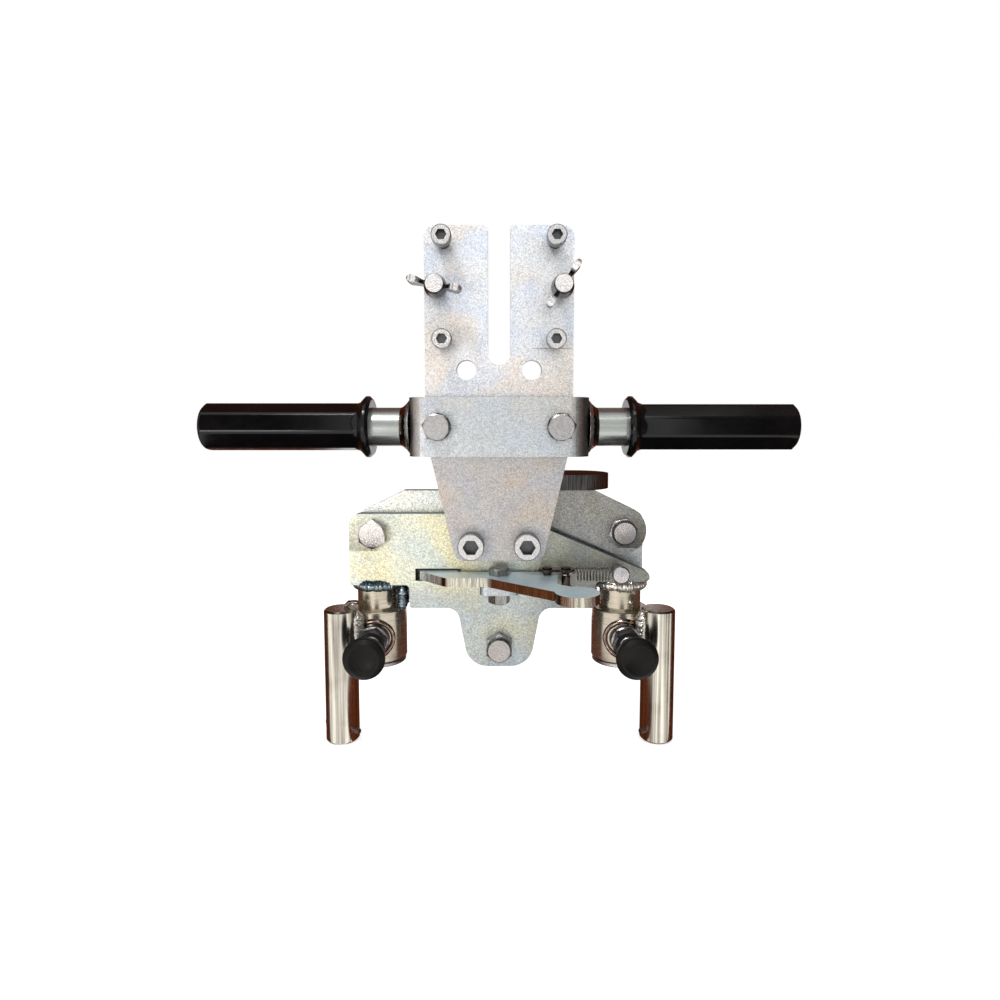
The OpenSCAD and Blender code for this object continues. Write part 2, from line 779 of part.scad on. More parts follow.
// Chain link and spring between the lever and the anchor screw
link_gap = 5.65;
link_plate_t = 1.6;
collar_d = chain_pin_d + 1.7;
clip_d = chain_pin_d + 2.4;
clip_t = 0.8;
pin2_x = ear_x + chain_pitch;
module on_pins() {
    for (x = [ear_x, pin2_x]) translate([x, -lever_front, link_mid]) children();
}
module chain_plates() {
    color(dark) for (z = [link_gap, -link_gap - link_plate_t]) difference() {
        translate([0, 0, link_mid + z]) linear_extrude(link_plate_t) {
            for (x = [ear_x, pin2_x]) translate([x, -lever_front]) circle(d = 11.8);
            translate([ear_x, -lever_front - 4.2]) square([chain_pitch, 8.4]);
        }
        on_pins() cylinder(d = chain_pin_d + slack, h = 30, center = true);
    }
}
module chain_pins() {
    clip = link_gap + link_plate_t + 0.2;
    color(dark) on_pins() {
        rod(chain_pin_d, -8.5, 8.5, 0.4);
        for (z = [clip, -clip - clip_t]) translate([0, 0, z]) rod(clip_d, 0, clip_t, 0.15);
    }
}
module chain_collars() {
    low = wire_d / 2 + 0.4;
    color(dark) for (s = [-1, 1]) {
        translate([ear_x, -lever_front, link_mid + (s > 0 ? lever_t / 2 + 0.3 : -link_gap)])
            washer(collar_d, chain_pin_d + slack, link_gap - lever_t / 2 - 0.3);
        translate([pin2_x, -lever_front, link_mid + (s > 0 ? spring_rise + low : -link_gap)])
            washer(collar_d, chain_pin_d + slack, link_gap - low - s * spring_rise);
    }
}
module anchor_screw() {
    neck = lever_front + jaw_y_left - wire_d / 2 - 0.4;
    head = neck + wire_d + 0.8;
    color("silver") facing([anchor_x, jaw_y_left, anchor_z]) {
        rod(9, 0, neck, 0.3);
        rod(6, -plate_t, head + 1, 0);
        rotate_extrude() polygon([[0, head], [6, head], [6, head + 2.4], [5.2, head + 3.4],
            [0, head + 3.8]]);
    }
}

// Spring: one tube through a hook round the chain's pin, the curls and a hook round the screw
coil_r = (spring_d - wire_d) / 2;
hook_room = 0.4;
hook_a = chain_pin_d / 2 + wire_d / 2 + hook_room;
hook_b = 3 + wire_d / 2 + hook_room;
coil_x0 = pin2_x + hook_a + 3.6;
coil_x1 = anchor_x - hook_b - 3.4;
coil_pitch = (coil_x1 - coil_x0) / curls;
rings = 8;
spring_path = concat(
    [for (i = [0:9]) let (a = -120 + 30 * i) [pin2_x - hook_a * cos(a), hook_a * sin(a), 0]],
    [[pin2_x + hook_a + 1.3, 1.4, 0], [coil_x0 - 0.9, coil_r * 0.75, 0]],
    [for (i = [0:curls * rings]) let (a = 360 * i / rings)
        [coil_x0 + coil_pitch * i / rings, coil_r * cos(a), coil_r * sin(a)]],
    [[coil_x1 + 0.9, coil_r * 0.5, 0.8], [anchor_x - hook_b - 0.9, 0, 1.3]],
    [for (i = [0:9]) let (a = 160 - 30 * i) [anchor_x + hook_b * cos(a), 0, hook_b * sin(a)]]
);
function along(pts, i) = unit(pts[min(i + 1, len(pts) - 1)] - pts[max(i - 1, 0)]);
// Side vector of each ring, carried along the path without twist
function sides(pts, i, v, out) = i == len(pts) ? out
    : let (t = along(pts, i), w = unit(v - (v * t) * t)) sides(pts, i + 1, w, concat(out, [w]));
module tube(pts, d, n = 6) {
    side = sides(pts, 0, [0.1, 0.2, 1], []);
    count = len(pts);
    ring = [for (i = [0:count - 1], k = [0:n - 1])
        let (t = along(pts, i), u = side[i], w = cross(t, u), a = 360 * k / n)
        pts[i] + d / 2 * (u * cos(a) + w * sin(a))];
    faces = concat(
        [for (i = [0:count - 2], k = [0:n - 1]) let (m = (k + 1) % n)
            [i * n + k, (i + 1) * n + m, i * n + m]],
        [for (i = [0:count - 2], k = [0:n - 1]) let (m = (k + 1) % n)
            [i * n + k, (i + 1) * n + k, (i + 1) * n + m]],
        [for (k = [1:n - 2]) [0, k, k + 1]],
        [for (k = [1:n - 2]) let (b = (count - 1) * n) [b, b + k + 1, b + k]]
    );
    polyhedron(ring, faces);
}
// Least gap of the wire to itself, between points more than half a curl apart
least_gap = min([for (i = [0:len(spring_path) - 1], j = [i + 5:1:len(spring_path) - 1])
    norm(spring_path[i] - spring_path[j])]) - wire_d;
echo(least_gap = least_gap);
module return_spring() {
    color("#8c8c8e") translate([0, -lever_front, anchor_z]) tube(spring_path, wire_d);
}

carrier_plate();
crossbar();
crossbar_bolts();
handle_tube_left();
handle_tube_right();
grip_left();
grip_right();
guide_screws();
wing_bolt_left();
wing_bolt_right();
link_screws();
link_spacers();
yoke_plate();
rear_lug();
pivot_bolt_left();
pivot_bolt_right();
pivot_nut_left();
pivot_nut_right();
jaw_plate_left();
jaw_plate_right();
post_left();
post_right();
end_washer_left();
end_washer_right();
end_screw_left();
end_screw_right();
centre_bolt();
centre_nut();
centre_spacer();
centre_washer();
sleeve_left();
sleeve_right();
leg_left();
leg_right();
cross_pin_left();
cross_pin_right();
plunger_body_left();
plunger_body_right();
plunger_nut_left();
plunger_nut_right();
plunger_pin_left();
plunger_pin_right();
plunger_knob_left();
plunger_knob_right();
latch_lever();
lever_bracket();
lever_bolt();
lever_nut();
chain_plates();
chain_pins();
chain_collars();
return_spring();
anchor_screw();
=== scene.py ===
# %% [markdown]
# # Kerb lifting clamp
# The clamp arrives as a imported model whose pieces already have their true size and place.
# This notebook keeps every one of them where it is, and gives the steel, the zinc and the
# grips their finish. It then adds what only a close look shows, such as weld beads and threads.

# %% Load the frame
import json
import math

import bpy
import numpy as np
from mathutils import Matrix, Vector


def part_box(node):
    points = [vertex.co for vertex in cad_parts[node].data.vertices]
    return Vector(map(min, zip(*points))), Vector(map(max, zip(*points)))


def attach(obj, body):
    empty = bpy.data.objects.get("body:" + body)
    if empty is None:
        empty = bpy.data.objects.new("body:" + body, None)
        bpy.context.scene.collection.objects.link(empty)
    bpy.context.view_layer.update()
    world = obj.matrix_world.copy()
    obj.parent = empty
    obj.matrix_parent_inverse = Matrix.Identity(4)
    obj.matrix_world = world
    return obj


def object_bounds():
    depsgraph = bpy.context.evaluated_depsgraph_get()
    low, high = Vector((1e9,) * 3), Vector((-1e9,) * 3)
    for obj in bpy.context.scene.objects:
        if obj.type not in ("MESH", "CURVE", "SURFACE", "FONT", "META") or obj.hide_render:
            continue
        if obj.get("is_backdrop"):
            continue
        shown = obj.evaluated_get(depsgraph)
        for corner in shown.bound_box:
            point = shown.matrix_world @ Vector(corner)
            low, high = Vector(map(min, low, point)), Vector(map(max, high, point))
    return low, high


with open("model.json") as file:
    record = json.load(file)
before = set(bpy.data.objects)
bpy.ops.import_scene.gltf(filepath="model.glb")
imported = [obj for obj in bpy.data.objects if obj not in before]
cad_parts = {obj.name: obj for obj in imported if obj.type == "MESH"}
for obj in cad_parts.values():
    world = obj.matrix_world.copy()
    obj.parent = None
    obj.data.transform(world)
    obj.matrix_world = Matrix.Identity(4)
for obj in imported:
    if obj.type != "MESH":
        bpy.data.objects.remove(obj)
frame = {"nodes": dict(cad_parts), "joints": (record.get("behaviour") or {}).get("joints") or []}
CAD_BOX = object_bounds()
MM = 0.001
RNG = np.random.default_rng(11)

# %% [markdown]
# ## Camera
# The photograph is taken from close by with a wide lens, so the screws and knobs that stand
# forward look larger and shift outwards. The lens, the distance and the slight downward tilt
# below were worked out from those shifts, so that near and far pieces both land where they do
# in the picture.

# %% Camera
PHOTO_W = 1000
LENS_PX = 640
TILT = math.radians(4.5)
HORIZON_SHIFT = -0.025
CAMERA_AT = (0.0006, -0.443, -0.0367)
SENSOR = 36.0

camera_data = bpy.data.cameras.new("front_camera")
camera_data.sensor_width = SENSOR
camera_data.lens = SENSOR * LENS_PX / PHOTO_W
camera_data.shift_y = HORIZON_SHIFT
camera_data.clip_start = 0.01
camera = bpy.data.objects.new("front_camera", camera_data)
camera.location = CAMERA_AT
camera.rotation_euler = (math.pi / 2 - TILT, 0, 0)
bpy.context.scene.collection.objects.link(camera)
bpy.context.scene.camera = camera
print("lens", round(camera_data.lens, 2), "mm")

# %% [markdown]
# ## Surfaces from arrays
# Every new piece is a grid of points: one direction runs along the piece, the other goes round
# it. A single helper turns such a grid into a mesh, so each piece only has to say how its
# points are worked out.

# %% Grid helper


def grid_piece(name, points, body, material, wrap_u=False, caps=True, turns=1.0):
    """Mesh of a grid of points[u, v], closed in v; its UV map runs from 0 to turns and from 0 to 1."""
    nu, nv = points.shape[:2]
    u = np.arange(nu if wrap_u else nu - 1)
    uu, vv = np.meshgrid(u, np.arange(nv), indexing="ij")
    u1, v1 = (uu + 1) % nu, (vv + 1) % nv
    quads = np.stack([uu * nv + vv, uu * nv + v1, u1 * nv + v1, u1 * nv + vv], axis=-1)
    faces = quads.reshape(-1, 4).tolist()
    step = np.array([turns / (nu if wrap_u else nu - 1), 1 / nv])
    corner = np.array([(0, 0), (0, 1), (1, 1), (1, 0)])
    uv = ((np.stack([uu, vv], axis=-1)[:, :, None] + corner) * step).reshape(-1, 2)
    verts = points.reshape(-1, 3)
    if caps and not wrap_u:
        ends = np.stack([points[0].mean(axis=0), points[-1].mean(axis=0)])
        first, last = len(verts), len(verts) + 1
        verts = np.concatenate([verts, ends])
        ring = np.arange(nv)
        nxt = (ring + 1) % nv
        faces += np.stack([nxt, ring, np.full(nv, first)], axis=-1).tolist()
        base = (nu - 1) * nv
        faces += np.stack([base + ring, base + nxt, np.full(nv, last)], axis=-1).tolist()
        uv = np.concatenate([uv, np.zeros((3 * nv, 2)), np.full((3 * nv, 2), (turns, 0.0))])
    mesh = bpy.data.meshes.new(name)
    mesh.from_pydata(verts.tolist(), [], faces)
    mesh.uv_layers.new(name="run").data.foreach_set("uv", uv.ravel())
    mesh.polygons.foreach_set("use_smooth", np.ones(len(mesh.polygons), dtype=bool))
    mesh.materials.append(material)
    mesh.update()
    piece = bpy.data.objects.new(name, mesh)
    bpy.context.scene.collection.objects.link(piece)
    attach(piece, body)
    return piece


def swept(path, radius, up, sides=14, closed=False):
    """Tube points: at each path point a ring across the path; v = 0.25 faces up, which may vary."""
    if closed:
        along = np.roll(path, -1, axis=0) - np.roll(path, 1, axis=0)
    else:
        along = np.gradient(path, axis=0)
    along /= np.linalg.norm(along, axis=1, keepdims=True)
    side = np.cross(np.broadcast_to(up, path.shape), along)
    side /= np.linalg.norm(side, axis=1, keepdims=True)
    top = np.cross(along, side)
    a = np.linspace(0, 2 * np.pi, sides, endpoint=False)[None, :, None]
    return path[:, None] + radius[..., None] * (np.cos(a) * side[:, None] + np.sin(a) * top[:, None])


print("helpers ready")

# %% [markdown]
# ## Shared effects
# Four effects appear in several finishes, so each is a node group with its own inputs. Nodes
# could be repeated in every material, but a group is built once and given new numbers. The
# small class below keeps the lines short.

# %% Node group helpers


class Nodes:
    """Small helper that adds nodes to a tree and joins their sockets."""

    def __init__(self, tree):
        self.tree = tree

    def add(self, kind, **values):
        item = self.tree.nodes.new(kind)
        for key, value in values.items():
            setattr(item, key, value)
        return item

    def join(self, a, b):
        self.tree.links.new(a, b)

    def maths(self, operation, a, b):
        item = self.add("ShaderNodeMath", operation=operation)
        for socket, value in zip(item.inputs, (a, b)):
            if isinstance(value, (int, float)):
                socket.default_value = value
            else:
                self.join(value, socket)
        return item.outputs[0]

    def spread(self, value, low, high, out_low=0.0, out_high=1.0):
        item = self.add("ShaderNodeMapRange")
        self.join(value, item.inputs["Value"])
        item.inputs["From Min"].default_value = low
        item.inputs["From Max"].default_value = high
        item.inputs["To Min"].default_value = out_low
        item.inputs["To Max"].default_value = out_high
        return item.outputs[0]

    def mix(self, factor, a, b, blend="MIX"):
        item = self.add("ShaderNodeMix", data_type="RGBA", blend_type=blend)
        for socket, value in ((item.inputs[0], factor), (item.inputs[6], a), (item.inputs[7], b)):
            if isinstance(value, (int, float)):
                socket.default_value = value
            elif isinstance(value, tuple):
                socket.default_value = (*value, 1)
            else:
                self.join(value, socket)
        return item.outputs[2]

    def noise(self, vector, scale, detail=3.0, rough=0.5):
        item = self.add("ShaderNodeTexNoise")
        self.join(vector, item.inputs["Vector"])
        item.inputs["Scale"].default_value = scale
        item.inputs["Detail"].default_value = detail
        item.inputs["Roughness"].default_value = rough
        return item.outputs["Fac"]

    def along(self, axis):
        """One of the three Object coordinates, in metres."""
        item = self.add("ShaderNodeSeparateXYZ")
        self.join(self.add("ShaderNodeTexCoord").outputs["Object"], item.inputs[0])
        return item.outputs[axis]

    def place(self, turn=(0, 0, 0), scale=(1, 1, 1), move=(0, 0, 0)):
        coords = self.add("ShaderNodeTexCoord")
        item = self.add("ShaderNodeMapping")
        item.inputs["Location"].default_value = move
        item.inputs["Rotation"].default_value = turn
        item.inputs["Scale"].default_value = scale
        self.join(coords.outputs["Object"], item.inputs["Vector"])
        return item.outputs[0]


def group(name, inputs, outputs):
    """Empty node group with named sockets; returns its Nodes helper and both ends."""
    tree = bpy.data.node_groups.new(name, "ShaderNodeTree")
    for label, kind, value in inputs:
        socket = tree.interface.new_socket(label, in_out="INPUT", socket_type=kind)
        socket.default_value = value
    for label, kind in outputs:
        tree.interface.new_socket(label, in_out="OUTPUT", socket_type=kind)
    n = Nodes(tree)
    return tree, n, n.add("NodeGroupInput").outputs, n.add("NodeGroupOutput").inputs


COLOUR, NUMBER, VECTOR = "NodeSocketColor", "NodeSocketFloat", "NodeSocketVector"
OUT = [("Color", COLOUR), ("Roughness", NUMBER), ("Height", NUMBER)]

# %% [markdown]
# Passivated zinc has a cloudy tint of yellow and blue, and under a lamp its crystals sparkle.
# Two slow noises place the tints. A fine noise and a pattern of cells, one cell for a crystal,
# make the sparkle.

# %% Zinc bloom


def make_bloom():
    """Base colour drifting between three tints in soft clouds, broken by grains of two sizes."""
    tree, n, give, take = group("zinc_bloom", [
        ("Vector", VECTOR, (0, 0, 0)), ("Base", COLOUR, (0.6, 0.6, 0.6, 1)),
        ("Warm", COLOUR, (0.7, 0.6, 0.5, 1)), ("Cool", COLOUR, (0.5, 0.6, 0.7, 1)),
        ("Tint", NUMBER, 0.6), ("Sparkle", NUMBER, 0.25)], OUT)
    warm = n.spread(n.noise(give["Vector"], 26, 2, 0.4), 0.5, 0.66)
    shifted = n.add("ShaderNodeVectorMath", operation="ADD")
    n.join(give["Vector"], shifted.inputs[0])
    shifted.inputs[1].default_value = (3.1, 1.7, 5.3)
    cool = n.spread(n.noise(shifted.outputs[0], 34, 2, 0.4), 0.5, 0.64)
    colour = n.mix(n.maths("MULTIPLY", warm, give["Tint"]), give["Base"], give["Warm"])
    colour = n.mix(n.maths("MULTIPLY", cool, give["Tint"]), colour, give["Cool"])
    grain = n.noise(give["Vector"], 2300, 1.5, 0.6)
    cells = n.add("ShaderNodeTexVoronoi")
    n.join(give["Vector"], cells.inputs["Vector"])
    cells.inputs["Scale"].default_value = 1500
    bright = n.add("ShaderNodeSeparateColor")
    n.join(cells.outputs["Color"], bright.inputs[0])
    both = n.maths("ADD", n.spread(grain, 0.3, 0.7, -0.5, 0.5),
                   n.spread(bright.outputs[0], 0, 1, -0.5, 0.5))
    light = n.maths("ADD", 1.0, n.maths("MULTIPLY", both, give["Sparkle"]))
    shade = n.add("ShaderNodeVectorMath", operation="SCALE")
    n.join(colour, shade.inputs[0])
    n.join(light, shade.inputs["Scale"])
    n.join(shade.outputs[0], take["Color"])
    n.join(n.spread(n.noise(give["Vector"], 60, 3), 0.3, 0.7), take["Roughness"])
    n.join(n.maths("ADD", grain, bright.outputs[1]), take["Height"])
    return tree


BLOOM = make_bloom()
print("effect", BLOOM.name)

# %% [markdown]
# Turning or drawing leaves fine lines on bare steel. A noise that is squeezed in one direction
# gives them, because it changes quickly across the lines and slowly along them.

# %% Turning streaks


def make_streaks():
    """Mask = contrast times a noise squeezed across the lines, plus a faint cloud of stain."""
    tree, n, give, take = group("turning_streaks", [
        ("Fine", VECTOR, (0, 0, 0)), ("Wide", VECTOR, (0, 0, 0)),
        ("Light", COLOUR, (0.7, 0.7, 0.7, 1)), ("Dark", COLOUR, (0.3, 0.3, 0.3, 1)),
        ("Contrast", NUMBER, 0.5)], OUT)
    line = n.noise(give["Fine"], 1.0, 2.5, 0.6)
    cloud = n.noise(give["Wide"], 55, 3, 0.5)
    mask = n.maths("MULTIPLY", n.spread(line, 0.35, 0.7), give["Contrast"])
    mask = n.maths("ADD", mask, n.spread(cloud, 0.5, 0.8, 0, 0.25))
    n.join(n.mix(mask, give["Light"], give["Dark"]), take["Color"])
    n.join(n.spread(line, 0.3, 0.7), take["Roughness"])
    n.join(line, take["Height"])
    return tree


STREAKS = make_streaks()
print("effect", STREAKS.name)

# %% [markdown]
# The sides of a flame-cut plate stay darker than its faces and keep the stripes of the cut. The
# angle between the surface and the plate's axis tells the sides from the faces.

# %% Cut edge


def make_cut_edge():
    """Mask of the faces whose normal lies across the plate's axis, striped as a flame cut leaves them."""
    tree, n, give, take = group("cut_edge", [
        ("Axis", VECTOR, (0, 1, 0)), ("Stripe", VECTOR, (0, 0, 0)),
        ("Color", COLOUR, (0.6, 0.6, 0.6, 1)), ("Edge", COLOUR, (0.2, 0.2, 0.2, 1))],
        [("Color", COLOUR), ("Mask", NUMBER)])
    normal = n.add("ShaderNodeTexCoord").outputs["Normal"]
    dot = n.add("ShaderNodeVectorMath", operation="DOT_PRODUCT")
    n.join(normal, dot.inputs[0])
    n.join(give["Axis"], dot.inputs[1])
    side = n.spread(n.maths("ABSOLUTE", dot.outputs["Value"], 0), 0.45, 0.75, 1, 0)
    stripe = n.spread(n.noise(give["Stripe"], 1.0, 1.5), 0.35, 0.65, 0.55, 1.25)
    shade = n.add("ShaderNodeVectorMath", operation="SCALE")
    n.join(give["Edge"], shade.inputs[0])
    n.join(stripe, shade.inputs["Scale"])
    n.join(n.mix(side, give["Color"], shade.outputs[0]), take["Color"])
    n.join(side, take["Mask"])
    return tree


CUT_EDGE = make_cut_edge()
print("effect", CUT_EDGE.name)

# %% [markdown]
# A weld cools in crescents, each a little over the last. Their colours follow the bead's own UV
# map, which counts one puddle for every step, so they bend round corners with the bead.

# %% Weld scales
SCALE_LAG = 0.35


def make_weld_scales():
    """Wave |sin(pi (run + lag |cos across| + unevenness))| over the bead's UV map: bright, ragged
    crests, darker grooves between them and a heat colour on both flanks."""
    tree, n, give, take = group("weld_scales", [
        ("UV", VECTOR, (0, 0, 0)), ("Light", COLOUR, (0.7, 0.7, 0.7, 1)),
        ("Groove", COLOUR, (0.1, 0.1, 0.1, 1)), ("Flank", COLOUR, (0.2, 0.2, 0.2, 1)),
        ("Heat", NUMBER, 0.5), ("Vector", VECTOR, (0, 0, 0))], OUT)
    part = n.add("ShaderNodeSeparateXYZ")
    n.join(give["UV"], part.inputs[0])
    across = n.maths("COSINE", n.maths("MULTIPLY", part.outputs[1], 2 * math.pi), 0)
    off_crown = n.maths("ABSOLUTE", across, 0)
    phase = n.maths("ADD", part.outputs[0], n.maths("MULTIPLY", off_crown, SCALE_LAG))
    ragged = n.spread(n.noise(give["Vector"], 420, 2, 0.6), 0.3, 0.7)
    phase = n.maths("ADD", phase, n.maths("MULTIPLY", ragged, 0.8))
    wave = n.maths("ABSOLUTE", n.maths("SINE", n.maths("MULTIPLY", phase, math.pi), 0), 0)
    colour = n.mix(n.maths("MULTIPLY", n.spread(wave, 0.1, 0.8), n.spread(ragged, 0.0, 0.6)),
                   give["Groove"], give["Light"])
    flank = n.maths("MULTIPLY", n.spread(n.maths("ADD", off_crown, n.maths("MULTIPLY", ragged, 0.3)),
                                         0.45, 0.9), give["Heat"])
    n.join(n.mix(flank, colour, give["Flank"]), take["Color"])
    n.join(n.spread(wave, 0.2, 0.9, 1.0, 0.0), take["Roughness"])
    n.join(wave, take["Height"])
    return tree


WELD_SCALES = make_weld_scales()
print("effect", WELD_SCALES.name)

# %% [markdown]
# ## Finishes
# Each finish is one Principled shader with its own numbers, fed by the shared effects. Zinc
# stays below full metal, because the thin bright layer scatters light as well as mirroring it.
# Shade is painted behind a screw's face, in its socket and on its knurled side, so the
# screws are darker the deeper the surface lies.

# %% Material helper


def finish(name, metallic, coat=0.0, coat_rough=0.1, specular=0.5, bump=0.0):
    """Principled material; returns it with its nodes, its shader and the bump behind its normal."""
    material = bpy.data.materials.new(name)
    material.use_nodes = True
    n = Nodes(material.node_tree)
    shader = material.node_tree.nodes["Principled BSDF"]
    shader.inputs["Metallic"].default_value = metallic
    shader.inputs["Coat Weight"].default_value = coat
    shader.inputs["Coat Roughness"].default_value = coat_rough
    shader.inputs["Specular IOR Level"].default_value = specular
    relief = n.add("ShaderNodeBump")
    relief.inputs["Strength"].default_value = bump
    relief.inputs["Distance"].default_value = 0.0002
    n.join(relief.outputs[0], shader.inputs["Normal"])
    return material, n, shader, relief


def edge_ramp(n, stops):
    """Colour that changes along X between stops of (millimetres, colour)."""
    ramp = n.add("ShaderNodeValToRGB")
    low, high = stops[0][0], stops[-1][0]
    n.join(n.spread(n.along(0), low * MM, high * MM), ramp.inputs[0])
    elements = ramp.color_ramp.elements
    while len(elements) < len(stops):
        elements.new(0.5)
    for element, (x, colour) in zip(elements, stops):
        element.position = (x - low) / (high - low)
        element.color = (*colour, 1)
    return ramp.outputs[0]


def zinc(name, base, warm, cool, edge, axis=(0, 1, 0), tint=0.6, sparkle=0.5, metallic=(0.7, 0.7),
         rough=(0.30, 0.46), seed=0, painted_shade=(), recess_shade=None, scribe=None, specular=0.5):
    """Passivated zinc: bloom and sparkle on the faces, a darker striped cut round the edge.
    metallic = (on the faces, on the cut edge); painted_shade = [(axis, from, to, colour)] is painted
    shade that darkens the plate along an axis, in millimetres; recess_shade = (y0, y1, colour) is painted
    shade that darkens it behind y0, and scribe = (z, x0, x1) draws the fitter's thin marking line, both in
    metres."""
    material, n, shader, relief = finish(name, metallic[0], specular=specular, bump=0.25)
    place = n.place(move=(seed * 0.37, seed * 0.11, seed * 0.23))
    bloom = n.add("ShaderNodeGroup", node_tree=BLOOM)
    n.join(place, bloom.inputs["Vector"])
    for label, colour in (("Base", base), ("Warm", warm), ("Cool", cool)):
        bloom.inputs[label].default_value = (*colour, 1)
    bloom.inputs["Tint"].default_value = tint
    bloom.inputs["Sparkle"].default_value = sparkle
    face = bloom.outputs["Color"]
    # Painted shade: each entry darkens the face colour towards one end of an axis.
    for axis_i, start, stop, colour in painted_shade:
        face = n.mix(n.spread(n.along(axis_i), start * MM, stop * MM), face, colour, "MULTIPLY")
    if scribe:
        off = n.maths("ABSOLUTE", n.maths("SUBTRACT", n.along(2), scribe[0]), 0)
        thin = n.spread(off, 0.10 * MM, 0.30 * MM, 0.75, 0)
        inside = n.maths("MULTIPLY", n.spread(n.along(0), scribe[1], scribe[1] + MM),
                         n.spread(n.along(0), scribe[2] - MM, scribe[2], 1, 0))
        face = n.mix(n.maths("MULTIPLY", thin, inside), face, (0.12, 0.12, 0.12))
    cut = n.add("ShaderNodeGroup", node_tree=CUT_EDGE)
    cut.inputs["Axis"].default_value = axis
    if isinstance(edge, list):
        n.join(edge_ramp(n, edge), cut.inputs["Edge"])
    else:
        cut.inputs["Edge"].default_value = (*edge, 1)
    stretch = tuple(1100 if a == 0 else 60 for a in axis)
    n.join(n.place(scale=stretch), cut.inputs["Stripe"])
    n.join(face, cut.inputs["Color"])
    if metallic[0] != metallic[1]:
        n.join(n.spread(cut.outputs["Mask"], 0, 1, *metallic), shader.inputs["Metallic"])
    colour = cut.outputs["Color"]
    # Painted shade: the colour darkens behind y0, in sockets and on knurled sides.
    if recess_shade:
        colour = n.mix(n.spread(n.along(1), recess_shade[0], recess_shade[1]), colour, recess_shade[2], "MULTIPLY")
    n.join(colour, shader.inputs["Base Color"])
    n.join(n.spread(bloom.outputs["Roughness"], 0, 1, *rough), shader.inputs["Roughness"])
    n.join(bloom.outputs["Height"], relief.inputs["Height"])
    return material


# %% Zinc finishes
CUT_TEAL = (0.10, 0.15, 0.17)
# Painted brown reflection, used on the lever's cut edge.
CUT_BROWN_REFLECTION = (0.085, 0.028, 0.009)
CUT_SILVER = (0.50, 0.47, 0.39)
# The lever's cut edge: a painted white highlight at its left tip, then bands of painted brown and silver
# reflection along X.
LEVER_CUT = [(-60, (0.85, 0.85, 0.82)), (-40, (0.85, 0.84, 0.80)), (-38, CUT_BROWN_REFLECTION), (-36, CUT_BROWN_REFLECTION),
             (-34, CUT_SILVER), (-9, CUT_SILVER), (-5, CUT_BROWN_REFLECTION), (34, CUT_BROWN_REFLECTION),
             (40, (0.16, 0.10, 0.07)), (50, CUT_SILVER), (58, (0.20, 0.12, 0.08))]
HEAD_WARM, HEAD_COOL = (0.52, 0.46, 0.44), (0.42, 0.44, 0.48)
# The carrier plate gets painted shade, darker towards the bottom.
zinc("plate_zinc", (0.80, 0.81, 0.83), (0.88, 0.77, 0.67), (0.70, 0.78, 0.93),
     CUT_TEAL, seed=1, tint=0.6, scribe=(14.3 * MM, 21.7 * MM, 49.5 * MM),
     painted_shade=[(2, 10, -70, (0.60, 0.56, 0.52))])
# The crossbar gets painted shade and painted brown reflection on both bends, darkest on the right one.
zinc("bar_zinc", (0.55, 0.57, 0.58), (0.66, 0.59, 0.48), (0.51, 0.57, 0.66),
     CUT_TEAL, seed=2, tint=0.4,
     painted_shade=[(0, 47, 57, (0.20, 0.14, 0.12)), (0, -49, -59, (0.60, 0.47, 0.38))])
zinc("rear_zinc", (0.50, 0.52, 0.53), (0.60, 0.54, 0.44), (0.46, 0.52, 0.60),
     CUT_TEAL, seed=2, tint=0.4)
# The left jaw plate gets painted shade: darker on its right part, and darker and bluer along its lower
# edge.
zinc("jaw_zinc", (0.68, 0.68, 0.55), (0.77, 0.69, 0.42), (0.58, 0.63, 0.60),
     CUT_TEAL, seed=3, tint=0.7, sparkle=0.6,
     painted_shade=[(0, 15, 52, (0.37, 0.37, 0.39)), (2, -146, -158, (0.74, 0.78, 0.92))])
# The yoke plate gets painted shade, darker on its right part.
zinc("yoke_zinc", (0.78, 0.78, 0.69), (0.82, 0.76, 0.56), (0.69, 0.72, 0.72),
     CUT_TEAL, seed=4, sparkle=0.7, painted_shade=[(0, -25, 25, (0.40, 0.39, 0.40))])
# The rear lug's brown-red is painted reflection of brown surroundings, with no gloss; its front goes from
# grey to dark red along X, also painted reflection.
zinc("lug_painted_reflection", (0.070, 0.020, 0.010), (0.09, 0.022, 0.010), (0.05, 0.02, 0.012),
     [(50, (0.16, 0.155, 0.15)), (62, (0.11, 0.105, 0.10)), (72, (0.06, 0.030, 0.022)),
      (81, (0.05, 0.014, 0.008))], axis=(0, 0, 1), metallic=(0.0, 0.0), specular=0.0, seed=5)
# The lever's cut edge carries the painted highlight and painted reflections of LEVER_CUT.
zinc("lever_zinc", (0.70, 0.85, 0.93), (0.74, 0.80, 0.84), (0.60, 0.80, 0.92),
     LEVER_CUT, axis=(0, 0, 1), metallic=(0.45, 0.95), sparkle=0.15, rough=(0.12, 0.24), seed=6)
zinc("fastener_zinc", (0.52, 0.49, 0.48), HEAD_WARM, HEAD_COOL,
     (0.27, 0.28, 0.30), seed=7, tint=0.5, sparkle=0.3, metallic=(0.9, 0.9),
     rough=(0.16, 0.34))
zinc("bolt_zinc", (0.74, 0.71, 0.65), HEAD_WARM, HEAD_COOL,
     (0.27, 0.26, 0.25), seed=9, tint=0.2, sparkle=0.3, metallic=(0.9, 0.9), rough=(0.16, 0.34))
zinc("centre_zinc", (0.40, 0.37, 0.35), HEAD_WARM, HEAD_COOL, (0.27, 0.28, 0.30), seed=7,
     tint=0.2, sparkle=0.3, metallic=(0.9, 0.9), rough=(0.16, 0.34))
zinc("upright_zinc", (0.34, 0.33, 0.31), HEAD_WARM, HEAD_COOL, (0.30, 0.29, 0.27),
     axis=(0, 0, 1), seed=9, tint=0.2, sparkle=0.3, metallic=(0.95, 0.95), rough=(0.12, 0.24))
